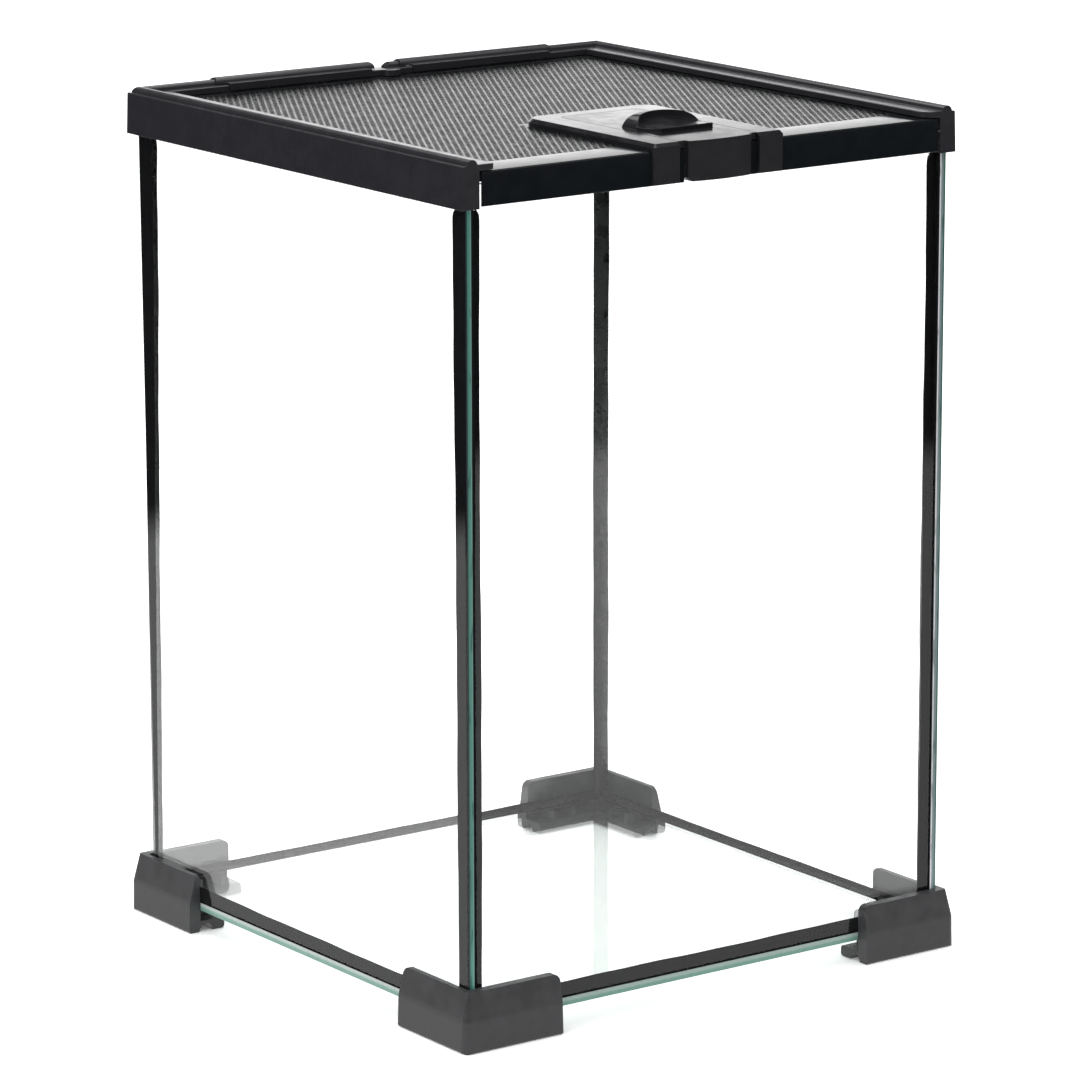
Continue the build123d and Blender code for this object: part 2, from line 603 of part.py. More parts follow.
def latch_housing():
    """Plate on the sheet with a grooved slot, and two blocks over the lip."""
    depth = housing_rear - block_front
    plan = Pos(0, (housing_rear + block_front) / 2) * Rectangle(HOUSING_WIDTH, depth)
    corners = plan.vertices().sort_by(Axis.Y)
    plan = fillet(corners[-2:], HOUSING_CORNER)
    plan = fillet(plan.vertices().sort_by(Axis.Y)[:2], BLOCK_ROUND)
    plate = prism_up(plan, sheet_top, housing_top)
    plate = chamfer(edges_at(plate, housing_top), HOUSING_CHAMFER)
    front = span_box((-housing_x, housing_x), (block_front, face_y), (block_bottom, sheet_top))
    plate += prism_up(plan, block_bottom, sheet_top) & front

    window_depth = window_rear - block_front + CUT
    window = Pos(0, window_rear - window_depth / 2) * Rectangle(WINDOW_WIDTH, window_depth)
    window = fillet(window.vertices().sort_by(Axis.Y)[-2:], WINDOW_CORNER)
    plate -= prism_up(window, block_bottom - CUT, housing_top + CUT)
    groove_x = window_x + TONGUE + SLIDE_FIT
    groove_top = sheet_top + TONGUE_THICKNESS + 2 * SLIDE_FIT
    plate -= span_box((-groove_x, groove_x), (face_y, groove_rear), (sheet_top, groove_top))
    for x, y in screw_places():
        plate -= span_cylinder(x, y, SCREW_SHANK, sheet_top, sheet_top + SCREW_GRIP)
    return plate


def latch_slider():
    """Flush panel with side tongues, a thumb grip and a bowed nose."""
    panel_x = window_x - SLIDE_FIT
    panel_rear = window_rear - SLIDE_FIT
    low = sheet_top + SLIDE_FIT
    panel = Pos(0, (face_y + panel_rear) / 2) * Rectangle(2 * panel_x, panel_rear - face_y)
    panel = fillet(panel.vertices().sort_by(Axis.Y)[-2:], WINDOW_CORNER - SLIDE_FIT)
    slider = prism_up(panel, low, housing_top)
    tongue_x = panel_x + TONGUE
    slider += span_box((-tongue_x, tongue_x), (tongue_front, groove_rear - SLIDE_FIT),
                       (low, low + TONGUE_THICKNESS))

    nose_x = NOSE_WIDTH / 2
    nose_y = face_y - NOSE_PROUD
    nose_back = face_y + NOSE_BACK
    plan = outline_of(
        Line((nose_x, nose_back), (nose_x, nose_y)),
        ThreePointArc((nose_x, nose_y), (0, nose_y - NOSE_BOW), (-nose_x, nose_y)),
        Line((-nose_x, nose_y), (-nose_x, nose_back)),
        Line((-nose_x, nose_back), (nose_x, nose_back)),
    )
    plan = fillet(plan.vertices().sort_by(Axis.Y)[:2], NOSE_EDGE)
    view = Pos(0, (block_bottom + housing_top) / 2) * Rectangle(NOSE_WIDTH, BLOCK_DEPTH)
    view = fillet(view.vertices().sort_by(Axis.Y)[:2], NOSE_CORNER)
    nose = prism_up(plan, block_bottom, housing_top)
    slider += nose & prism_along_y(view, nose_y - NOSE_BOW - CUT, nose_back)
    return slider + grip()


def grip():
    """Thumb grip: a ridge round the back of a dish, and a ribbed front step."""
    base = housing_top
    step = face_y + GRIP_STEP
    axis_y = face_y + GRIP_AXIS
    rear = axis_y + GRIP_RING_OUTER
    crest = base + GRIP_HEIGHT

    # The ridge is turned about an upright axis, and its front view is an arch.
    ring = outline_of(
        Line((GRIP_RING_INNER, base), (GRIP_RING_INNER, crest)),
        Line((GRIP_RING_INNER, crest), (GRIP_RING_CREST, crest)),
        ThreePointArc((GRIP_RING_CREST, crest), (GRIP_RING_BACK, base + GRIP_BACK_HEIGHT),
                      (GRIP_RING_OUTER, base)),
        Line((GRIP_RING_OUTER, base), (GRIP_RING_INNER, base)),
    )
    ridge = Pos(0, axis_y, 0) * revolve(Plane.XZ * ring, Axis.Z)
    crest_end = crest - GRIP_CREST_DROP
    waist_z = base + GRIP_WAIST_HEIGHT
    arch = outline_of(
        Line((-GRIP_HALF, base), (GRIP_HALF, base)),
        ThreePointArc((GRIP_HALF, base), (GRIP_WAIST, waist_z), (GRIP_CREST_HALF, crest_end)),
        ThreePointArc((GRIP_CREST_HALF, crest_end), (0, crest), (-GRIP_CREST_HALF, crest_end)),
        ThreePointArc((-GRIP_CREST_HALF, crest_end), (-GRIP_WAIST, waist_z), (-GRIP_HALF, base)),
    )
    ridge &= prism_along_y(arch, axis_y, rear + CUT)

    # The dish runs from the step up to the foot of the upright face.
    ridge_start = axis_y + (GRIP_RING_INNER ** 2 - GRIP_HALF ** 2) ** 0.5
    face = axis_y + GRIP_RING_INNER
    dish_view = outline_of(
        Line((step, base), (face, base)),
        Line((face, base), (face, base + GRIP_LIP_HEIGHT)),
        ThreePointArc((face, base + GRIP_LIP_HEIGHT),
                      ((face + step) / 2, base + GRIP_DISH_HEIGHT), (step, base + GRIP_STEP_HEIGHT)),
        Line((step, base + GRIP_STEP_HEIGHT), (step, base)),
    )
    dish = prism_along_x(dish_view, -GRIP_HALF, GRIP_HALF)
    plan = loop_of([
        (-GRIP_FRONT_HALF, step), (GRIP_FRONT_HALF, step), (GRIP_HALF, ridge_start),
        (GRIP_HALF, face), (-GRIP_HALF, face), (-GRIP_HALF, ridge_start),
    ])
    dish &= prism_up(plan, base, crest)
    dish &= span_cylinder(0, axis_y, (GRIP_RING_INNER + GRIP_RING_CREST) / 2, base, crest)

    pitch = GRIP_STEP_HEIGHT / GRIP_RIBS
    ribs = [
        span_box((-GRIP_FRONT_HALF, GRIP_FRONT_HALF), (step - GRIP_RIB_REACH, step),
                 (base + index * pitch, base + (index + 1 - GRIP_RIB_OPEN) * pitch))
        for index in range(GRIP_RIBS)
    ]
    return ridge + dish + ribs


def backing_plate():
    x = housing_x - BACKING_MARGIN
    plate = span_box((-x, x), (face_y + BACKING_FRONT, housing_rear),
                     (backing_bottom, backing_top))
    for x, y in screw_places():
        plate -= span_cylinder(x, y, SCREW_SHANK + SCREW_FIT, backing_bottom - CUT, backing_top + CUT)
    return plate


def latch_screw(x, y):
    """Pan head under the backing plate, with its shank up in the housing."""
    shank = span_cylinder(x, y, SCREW_SHANK, backing_bottom, sheet_top + SCREW_GRIP)
    head = span_cylinder(x, y, SCREW_HEAD, backing_bottom - SCREW_HEAD_HEIGHT, backing_bottom)
    return shank + head


# --------------------------------------------------------------------- build
def build():
    ring = seal_base()
    nodes = {
        "glass_base": glass_base(),
        "seal_base": ring,
        "rail_rear": rail_rear(),
        "cable_cap_left": cable_cap(CAP_LEFT_END, -1),
        "cable_cap_right": cable_cap(CAP_RIGHT_END, 1),
        "lid_sheet": lid_sheet(),
        "latch_housing": latch_housing(),
        "latch_slider": latch_slider(),
        "latch_backing_plate": backing_plate(),
    }
    for side_name, side in SIDES.items():
        nodes[f"glass_{side_name}"] = glass_side(side)
        nodes[f"rail_{side_name}"] = rail_side(side)
        for end_name, end in ENDS.items():
            corner = f"{end_name}_{side_name}"
            nodes[f"foot_{corner}"] = foot(side, end)
            nodes[f"seal_{corner}"] = seal_corner(side, end, ring)
            y = screw_front if end < 0 else screw_rear
            nodes[f"latch_screw_{corner}"] = latch_screw(side * screw_x, y)
    for end_name, end in ENDS.items():
        nodes[f"glass_{end_name}"] = glass_end(end)
    return nodes


os.makedirs("parts", exist_ok=True)
for name, solid in build().items():
    export_step(solid, f"parts/{name}.step")
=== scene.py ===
import logging
import math
from dataclasses import dataclass, field
from enum import Enum
from functools import partial, reduce
from itertools import product

import bmesh
import bpy
import numpy as np
from mathutils import Matrix, Vector


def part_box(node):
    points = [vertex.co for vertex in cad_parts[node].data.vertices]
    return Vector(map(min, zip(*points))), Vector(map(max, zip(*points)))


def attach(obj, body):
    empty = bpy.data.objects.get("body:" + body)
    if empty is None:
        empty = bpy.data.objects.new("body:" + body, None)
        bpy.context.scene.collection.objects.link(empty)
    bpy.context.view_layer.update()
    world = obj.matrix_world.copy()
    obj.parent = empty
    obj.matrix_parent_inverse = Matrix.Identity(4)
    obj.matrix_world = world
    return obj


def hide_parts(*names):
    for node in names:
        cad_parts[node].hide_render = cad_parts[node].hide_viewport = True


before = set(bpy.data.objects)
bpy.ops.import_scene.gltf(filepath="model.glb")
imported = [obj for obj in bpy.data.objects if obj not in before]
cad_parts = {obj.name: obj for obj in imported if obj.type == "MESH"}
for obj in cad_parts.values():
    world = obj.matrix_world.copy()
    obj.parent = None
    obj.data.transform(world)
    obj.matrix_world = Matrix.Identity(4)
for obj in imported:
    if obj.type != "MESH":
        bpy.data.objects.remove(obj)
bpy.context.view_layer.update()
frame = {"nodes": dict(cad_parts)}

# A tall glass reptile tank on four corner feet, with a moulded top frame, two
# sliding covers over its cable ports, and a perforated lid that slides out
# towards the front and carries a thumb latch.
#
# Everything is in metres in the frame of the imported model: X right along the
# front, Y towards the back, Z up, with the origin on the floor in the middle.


MM = 0.001
EMBED = 0.03 * MM             # silicone reaches this far into the glass it wets
SETBACK = 0.08 * MM           # and stays this far behind the panes' outer faces
ANY_BOUNCE = 0.5              # a ray depth above this counts at least one bounce
LOOKS_UP = 0.7                # upward part of the normal of a face that looks up
DUST_COLOUR = (0.35, 0.35, 0.34)
SMOOTH_SEAM = 50              # degrees, for new_piece
SMOOTH_FOLD = 35
MERGE = 0.002 * MM            # packed points closer than this are one
FLAT = 1.0                    # degrees, packed faces turned by less are one face
SHARP = 28.0                  # degrees, edges above this are rounded

log = logging.getLogger("terrarium")

Triple = tuple[float, float, float]
Colour = Triple
Stops = tuple[tuple[float, Colour], ...]
Faces = list[tuple[int, ...]]
Material = bpy.types.Material
Node = bpy.types.Node
Object = bpy.types.Object
Socket = bpy.types.NodeSocket
Tree = bpy.types.NodeTree


class Side(Enum):
    """Left and right of the tank, as the sign of X."""

    LEFT = -1
    RIGHT = 1


class End(Enum):
    """Front and rear of the tank, as the sign of Y."""

    FRONT = -1
    REAR = 1


class Body(Enum):
    """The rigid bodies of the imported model."""

    TANK = "tank"
    LID = "lid"
    LATCH = "latch"
    COVER_LEFT = "cover_left"
    COVER_RIGHT = "cover_right"


# ---- node work
class Graph:
    """A thin layer over a node tree, so that a material reads as its steps."""

    def __init__(self, tree: Tree) -> None:
        """Empty the tree and keep it.

        Args:
            tree: The node tree to fill.
        """
        tree.nodes.clear()
        self.tree = tree

    def feed(self, node: Node, values: dict) -> None:
        """Set or link inputs of a node.

        Args:
            node: The node to feed.
            values: Input name or index to a constant or to a socket to link.
                A colour is given by three numbers and is opaque.
        """
        for key, value in values.items():
            socket = node.inputs[key]
            if isinstance(value, Socket):
                self.tree.links.new(value, socket)
            elif socket.type == "RGBA":
                socket.default_value = (*value, 1.0)
            else:
                socket.default_value = value

    def add(self, kind: str, values: dict | None = None, **settings) -> Node:
        """Add a node.

        Args:
            kind: Blender's identifier of the node type.
            values: Inputs, as feed takes them.
            settings: Properties to set on the node before its inputs.

        Returns:
            The new node.
        """
        node = self.tree.nodes.new(kind)
        for name, value in settings.items():
            setattr(node, name, value)
        self.feed(node, values or {})
        return node

    def out(self, kind: str, values: dict | None = None, output: int | str = 0,
            **settings) -> Socket:
        """Add a node and return one of its outputs."""
        return self.add(kind, values, **settings).outputs[output]

    def math(self, operation: str, *values: float | Socket) -> Socket:
        """Add a Math node and return its result."""
        return self.out("ShaderNodeMath", dict(enumerate(values)), operation=operation)

    def product(self, *values: float | Socket) -> Socket:
        """Multiply two or more values, from left to right."""
        return reduce(partial(self.math, "MULTIPLY"), values)

    def lack(self, value: Socket) -> Socket:
        """One less a value."""
        return self.math("SUBTRACT", 1.0, value)

    def vector(self, operation: str, *values: tuple | Socket, output: str = "Vector") -> Socket:
        """Add a Vector Math node and return its result."""
        return self.out("ShaderNodeVectorMath", dict(enumerate(values)), output,
                        operation=operation)

    def ramp(self, value: Socket, low: float, high: float,
             out_low: float = 0.0, out_high: float = 1.0) -> Socket:
        """Map a value smoothly from one range to another.

        Args:
            value: The socket to map.
            low: Input that gives out_low.
            high: Input that gives out_high.
            out_low: Result at the low end.
            out_high: Result at the high end.

        Returns:
            The mapped value.
        """
        values = {"Value": value, "From Min": low, "From Max": high,
                  "To Min": out_low, "To Max": out_high}
        return self.out("ShaderNodeMapRange", values, "Result", interpolation_type="SMOOTHSTEP")

    def mix(self, factor: float | Socket, first: Colour | Socket,
            second: Colour | Socket) -> Socket:
        """Mix two colours and return the result."""
        return self.out("ShaderNodeMix", {0: factor, 6: first, 7: second}, 2, data_type="RGBA")

    def noise(self, place: Socket, scale: float | Socket, detail: float = 3.0) -> Socket:
        """Noise of the given scale per metre, as a value from 0 to 1."""
        values = {"Vector": place, "Scale": scale, "Detail": detail}
        return self.out("ShaderNodeTexNoise", values, "Fac")

    def bands(self, value: Socket, low: float, high: float, stops: Stops) -> Socket:
        """Colours laid over a range of a value.

        Args:
            value: The socket to follow.
            low: Input at position 0.
            high: Input at position 1.
            stops: Position and colour of each stop, in rising order.

        Returns:
            The colour.
        """
        values = {"Value": value, "From Min": low, "From Max": high}
        place = self.out("ShaderNodeMapRange", values, "Result")
        node = self.add("ShaderNodeValToRGB", {"Fac": place})
        elements = node.color_ramp.elements
        while len(elements) < len(stops):
            elements.new(0.5)
        for element, (position, colour) in zip(elements, stops):
            element.position = position
            element.color = (*colour, 1.0)
        return node.outputs["Color"]

    def bump(self, height: Socket, distance: float, **below: Socket) -> Socket:
        """Bend the normal by a height, on top of another bend given as Normal."""
        values = {"Height": height, "Distance": distance, "Strength": 1.0, **below}
        return self.out("ShaderNodeBump", values)

    def axes(self, vector: Socket) -> tuple[Socket, Socket, Socket]:
        """Split a vector into its three parts."""
        return tuple(self.add("ShaderNodeSeparateXYZ", {0: vector}).outputs)

    def geometry(self, output: str) -> Socket:
        """One output of the Geometry node."""
        return self.out("ShaderNodeNewGeometry", output=output)

    def paths(self) -> tuple[Socket, Socket, Socket]:
        """Kinds of ray that reach this surface.

        Returns:
            Masks of rays seen straight or through glass, of rays seen in a
            reflection, and of rays that only carry light.
        """
        path = self.add("ShaderNodeLightPath").outputs
        matt = self.math("GREATER_THAN", path["Diffuse Depth"], ANY_BOUNCE)
        mirror = self.math("GREATER_THAN", path["Glossy Depth"], ANY_BOUNCE)
        either = self.math("MAXIMUM", path["Is Camera Ray"], path["Is Transmission Ray"])
        straight = self.product(either, self.lack(self.math("MAXIMUM", matt, mirror)))
        return straight, self.product(mirror, self.lack(matt)), matt

    def group(self, tree: Tree, place: Socket, **values: float) -> tuple:
        """Add a shader group on a place and return its outputs."""
        return self.add("ShaderNodeGroup", {"Vector": place, **values}, node_tree=tree).outputs

    def clear_where(self, share: Socket, shader: Socket, colour: Colour) -> Socket:
        """Swap a shader for a clear one of the given colour where share is 1."""
        clear = self.out("ShaderNodeBsdfTransparent", {"Color": colour})
        return self.out("ShaderNodeMixShader", {0: share, 1: shader, 2: clear})

    def surface(self, shader: Socket) -> None:
        """Make a shader the material's surface."""
        self.add("ShaderNodeOutputMaterial", {"Surface": shader})


def new_group(name: str, inputs: dict[str, float], outputs: tuple[str, ...]) -> tuple:
    """Make an empty shader group.

    Args:
        name: Name of the group.
        inputs: Names and starting values of the float inputs; a vector
            input named Vector always comes first.
        outputs: Names of the float outputs.

    Returns:
        The group's graph, the values given to it, and its output node.
    """
    tree = bpy.data.node_groups.new(name, "ShaderNodeTree")
    tree.interface.new_socket("Vector", in_out="INPUT", socket_type="NodeSocketVector")
    for label, start in inputs.items():
        socket = tree.interface.new_socket(label, in_out="INPUT", socket_type="NodeSocketFloat")
        socket.default_value = start
    for label in outputs:
        tree.interface.new_socket(label, in_out="OUTPUT", socket_type="NodeSocketFloat")
    graph = Graph(tree)
    return graph, graph.add("NodeGroupInput").outputs, graph.add("NodeGroupOutput")


def grain_group() -> Tree:
    """Moulded or sprayed surface: fine grain, slow waviness and mottling.

    Height is fine noise plus a slow wave; Mottle is slow noise for colour
    and roughness.

    Returns:
        The group, with inputs Vector, Scale and Wave.
    """
    graph, given, result = new_group("surface_grain", {"Scale": 2500.0, "Wave": 0.3},
                                     ("Height", "Mottle"))
    fine = graph.noise(given["Vector"], given["Scale"], 4.0)
    slow = graph.noise(given["Vector"], 45.0, 2.0)
    cloud = graph.noise(given["Vector"], 160.0, 5.0)
    graph.feed(result, {
        "Height": graph.math("ADD", fine, graph.product(slow, given["Wave"])),
        "Mottle": graph.ramp(cloud, 0.3, 0.7),
    })
    return graph.tree


def dust_group() -> Tree:
    """Specks and a faint haze of dust that lie on faces looking up.

    Returns:
        The group, with inputs Vector and Amount and output Mask.
    """
    graph, given, result = new_group("settled_dust", {"Amount": 0.2}, ("Mask",))
    facing = graph.ramp(graph.axes(graph.geometry("Normal"))[2], 0.3, 0.95)
    cells = graph.out("ShaderNodeTexVoronoi", {"Vector": given["Vector"], "Scale": 420.0},
                      "Distance")
    specks = graph.ramp(cells, 0.10, 0.02)
    haze = graph.ramp(graph.noise(given["Vector"], 70.0, 4.0), 0.45, 0.75)
    either = graph.math("MAXIMUM", specks, graph.product(haze, 0.25))
    graph.feed(result, {"Mask": graph.product(either, facing, given["Amount"])})
    return graph.tree


GRAIN = grain_group()
DUST = dust_group()


def start_material(name: str) -> tuple[Material, Graph, Socket]:
    """Begin a material.

    Args:
        name: Name of the material.

    Returns:
        The material, its graph and Object coordinates.
    """
    material = bpy.data.materials.new(name)
    material.use_nodes = True
    graph = Graph(material.node_tree)
    return material, graph, graph.out("ShaderNodeTexCoord", output="Object")


# ---- finishes
@dataclass(frozen=True)
class PlasticFinish:
    """Moulded or coated dark surface with grain, mottling and dust."""

    name: str
    colour: Colour
    roughness: float
    grain_scale: float
    grain_depth: float
    wave: float
    mottle: float
    dust: float
    specular: float = 0.5
    crown_along: float = 0.0
    crown_across: float = 0.0
    crown_start: float = -56.0 * MM
    side_roughness: float = 0.24

    def material(self) -> Material:
        """Build the finish.

        A crowned upward face falls away as the square of the distance in
        front of the crown's start, and as the square of the distance from
        the middle; the sides of a crowned piece are rougher.

        Returns:
            A material on Object coordinates.
        """
        material, graph, place = start_material(self.name)
        grain = graph.group(GRAIN, place, Scale=self.grain_scale, Wave=self.wave)
        dust = graph.group(DUST, place, Amount=self.dust)["Mask"]
        lighter = tuple(channel * (1 + 2 * self.mottle) for channel in self.colour)
        colour = graph.mix(dust, graph.mix(grain["Mottle"], self.colour, lighter), DUST_COLOUR)
        spread = self.mottle * 0.35
        roughness = graph.ramp(grain["Mottle"], 0.0, 1.0,
                               self.roughness - spread, self.roughness + spread)
        normal = graph.bump(grain["Height"], self.grain_depth)
        if self.crown_along:
            x, y, _ = graph.axes(place)
            before = graph.math("MINIMUM", graph.math("SUBTRACT", y, self.crown_start), 0.0)
            along = graph.product(before, before, -self.crown_along)
            across = graph.product(x, x, -self.crown_across)
            turned = graph.axes(graph.geometry("True Normal"))[2]
            upward = graph.math("GREATER_THAN", turned, LOOKS_UP)
            fall = graph.product(graph.math("ADD", along, across), upward)
            rougher = graph.product(graph.lack(upward), self.side_roughness)
            roughness = graph.math("ADD", roughness, rougher)
            normal = graph.bump(fall, 1.0, Normal=normal)
        graph.surface(graph.out("ShaderNodeBsdfPrincipled", {
            "Base Color": colour, "Roughness": roughness, "Normal": normal,
            "Specular IOR Level": self.specular,
        }))
        return material


@dataclass(frozen=True)
class GlassFinish:
    """Clear float glass, whose tint shifts to that of a faint film in places."""

    name: str
    tint: Colour
    film: Colour

    def material(self) -> Material:
        """Build the finish.

        Returns:
            A transmissive material, merely tinted for shadow and matt rays.
        """
        material, graph, place = start_material(self.name)
        film = graph.ramp(graph.noise(place, 14.0, 4.0), 0.3, 0.8)
        shader = graph.out("ShaderNodeBsdfPrincipled", {
            "Base Color": graph.mix(film, self.tint, self.film), "Roughness": 0.0,
            "Transmission Weight": 1.0, "IOR": 1.52,
        })
        path = graph.add("ShaderNodeLightPath").outputs
        lit = graph.math("MAXIMUM", path["Is Shadow Ray"], path["Is Diffuse Ray"])
        graph.surface(graph.clear_where(lit, shader, (0.93, 0.95, 0.94)))
        return material


@dataclass(frozen=True)
class CutEdgeTintAndPaintedLight:
    """Ground green edge of float glass, in bands from one face to the other; the green is the
    glass's own, the bands' lightness is painted light and shade.
    """

    name: str
    left: Stops
    right: Stops
    # painted light: how much lighter the edge is painted near the floor that lights it
    painted_glow: float = 0.6
    streaks: float = 0.6
    level: bool = False
    inner: float = 97.7 * MM
    outer: float = 100.7 * MM
    painted_glow_height: float = 60.0 * MM
    streak_stretch: Triple = (1.0, 1.0, 0.10)
    streak_colour: Colour = (0.008, 0.06, 0.05)

    def material(self) -> Material:
        """Build the finish.

        The bands follow the distance from the middle plane of the tank, or
        the height on a level pane; their lightness is painted light and shade.
        The left set is for faces in the left half, or that look left, and the
        right set for the others: lit and shaded copies of one edge. Dark
        streaks run up the edge, and a painted glow of floor light makes it
        lighter near the floor. From within the glass the light behind the
        edge shows through it.

        Returns:
            A satin material on Object coordinates.
        """
        material, graph, place = start_material(self.name)
        x, _, z = graph.axes(place)
        across = z if self.level else graph.math("ABSOLUTE", x)
        # painted light and shade: the left and right sets are lit and shaded copies of one edge
        left = graph.bands(across, self.inner, self.outer, self.left)
        right = graph.bands(across, self.inner, self.outer, self.right)
        turned = graph.axes(graph.geometry("Normal"))[0]
        which = (graph.math("GREATER_THAN", turned, -0.5) if self.level
                 else graph.math("GREATER_THAN", x, 0.0))
        upright = graph.vector("MULTIPLY", place, self.streak_stretch)
        streak = graph.ramp(graph.noise(upright, 900.0, 3.0), 0.54, 0.66, 0.0, self.streaks)
        colour = graph.mix(streak, graph.mix(which, left, right), self.streak_colour)
        # painted glow of floor light, up to twice the edge's colour at the floor
        painted_glow = graph.ramp(z, self.painted_glow_height, 0.0, 0.0, self.painted_glow)
        doubled = graph.vector("MULTIPLY", colour, (2.0, 2.0, 2.0))
        shader = graph.out("ShaderNodeBsdfPrincipled", {
            "Base Color": graph.mix(painted_glow, colour, doubled),
            "Roughness": graph.ramp(streak, 0.0, 0.5, 0.30, 0.50),
        })
        within = graph.geometry("Backfacing")
        graph.surface(graph.clear_where(within, shader, (0.90, 0.96, 0.94)))
        return material


@dataclass(frozen=True)
class SteelFinish:
    """Plain machined steel for the screws."""

    name: str
    colour: Colour
    roughness: float

    def material(self) -> Material:
        """Build the finish.

        Returns:
            A metallic material with turning marks.
        """
        material, graph, place = start_material(self.name)
        grain = graph.group(GRAIN, place, Scale=6000.0, Wave=0.1)
        roughness = graph.ramp(grain["Mottle"], 0.0, 1.0,
                               self.roughness * 0.8, self.roughness * 1.3)
        graph.surface(graph.out("ShaderNodeBsdfPrincipled", {
            "Base Color": self.colour, "Metallic": 1.0, "Roughness": roughness,
            "Normal": graph.bump(grain["Height"], 0.005 * MM),
        }))
        return material


LATCH_BLACK = (0.013, 0.013, 0.016)
FINISHES = dict(
    frame=PlasticFinish("frame_plastic", (0.028, 0.027, 0.032), 0.24, 2500.0, 0.008 * MM,
                        wave=0.15, mottle=0.07, dust=0.06, specular=0.6),
    feet=PlasticFinish("feet_plastic", (0.049, 0.049, 0.052), 0.40, 2200.0, 0.020 * MM,
                       wave=0.3, mottle=0.20, dust=0.10),
    sheet=PlasticFinish("sheet_coating", (0.009, 0.011, 0.013), 0.13, 1800.0, 0.002 * MM,
                        wave=0.5, mottle=0.08, dust=0.05),
    field=PlasticFinish("sheet_field_coating", (0.009, 0.010, 0.011), 0.25, 1800.0,
                        0.002 * MM, wave=0.5, mottle=0.08, dust=0.03, specular=0.40),
    housing=PlasticFinish("housing_plastic", LATCH_BLACK, 0.17, 2600.0, 0.002 * MM,
                          wave=0.2, mottle=0.08, dust=0.05,
                          crown_along=0.80, crown_across=0.4),
    slider=PlasticFinish("slider_plastic", LATCH_BLACK, 0.20, 2600.0, 0.003 * MM,
                         wave=0.2, mottle=0.10, dust=0.05,
                         crown_along=0.75, crown_across=0.4),
    silicone=PlasticFinish("silicone_black", (0.006, 0.006, 0.0065), 0.30, 300.0,
                           0.004 * MM, wave=1.0, mottle=0.2, dust=0.0, specular=0.4),
    bonded=PlasticFinish("silicone_on_glass", (0.010, 0.010, 0.011), 0.60, 500.0, 0.0,
                         wave=0.0, mottle=0.1, dust=0.0, specular=0.0),
    glass=GlassFinish("glass_face", (0.985, 0.996, 0.992), (1.0, 1.0, 1.0)),
    glass_edge=CutEdgeTintAndPaintedLight(
        "glass_cut_edge",
        # painted light and shade: the bright band of the left set and the white start of the
        # right set stand for light through the pane, the near-black stops for shade; the green is
        # the glass's own
        left=((0.0, (0.008, 0.014, 0.018)), (0.12, (0.010, 0.030, 0.030)),
              (0.19, (0.22, 0.42, 0.37)), (0.28, (0.095, 0.30, 0.235)),
              (0.62, (0.075, 0.25, 0.195)), (0.74, (0.010, 0.045, 0.045)),
              (1.0, (0.006, 0.008, 0.014))),
        right=((0.0, (0.85, 0.87, 0.88)), (0.26, (0.78, 0.80, 0.82)),
               (0.34, (0.25, 0.28, 0.30)), (0.62, (0.19, 0.27, 0.27)),
               (0.74, (0.035, 0.14, 0.115)), (1.0, (0.05, 0.16, 0.14)))),
    base_edge=CutEdgeTintAndPaintedLight(
        "glass_base_edge",
        # painted light: the base edge is paler towards its top, palest on faces that look left
        left=((0.0, (0.25, 0.45, 0.38)), (0.45, (0.30, 0.54, 0.46)),
              (0.68, (0.62, 0.74, 0.70)), (1.0, (0.80, 0.86, 0.84))),
        right=((0.0, (0.20, 0.44, 0.36)), (0.45, (0.26, 0.48, 0.40)),
               (0.60, (0.46, 0.60, 0.55)), (1.0, (0.50, 0.62, 0.58))),
        painted_glow=0.0, streaks=0.08, level=True, inner=7.8 * MM, outer=10.8 * MM),
    steel=SteelFinish("screw_steel", (0.55, 0.55, 0.57), 0.28),
)


@dataclass(frozen=True)
class Finishes:
    """Every material of the tank, built once."""

    frame: Material
    feet: Material
    sheet: Material
    field: Material
    housing: Material
    slider: Material
    silicone: Material
    bonded: Material
    glass: Material
    glass_edge: Material
    base_edge: Material
    steel: Material

    @classmethod
    def build(cls) -> "Finishes":
        """Make all the materials."""
        return cls(**{use: finish.material() for use, finish in FINISHES.items()})


# ---- mesh helpers
def corner_nodes(kind: str) -> list[str]:
    """Packed names of a piece at the four corners, such as foot_front_left."""
    return [f"{kind}_{end.name.lower()}_{side.name.lower()}" for side, end in product(Side, End)]


def new_object(name: str, data: bpy.types.ID) -> Object:
    """Make an object and put it into the scene.

    Args:
        name: Name of the object.
        data: Its mesh, lamp or camera.

    Returns:
        The object.
    """
    item = bpy.data.objects.new(name, data)
    bpy.context.scene.collection.objects.link(item)
    return item


def assign(piece: Object, body: Body, replaces: tuple[str, ...]) -> None:
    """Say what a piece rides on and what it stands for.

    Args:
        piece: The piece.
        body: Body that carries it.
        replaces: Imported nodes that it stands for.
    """
    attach(piece, body.value)
    if replaces:
        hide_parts(*replaces)
    log.info("%s: %d faces", piece.name, len(piece.data.polygons))


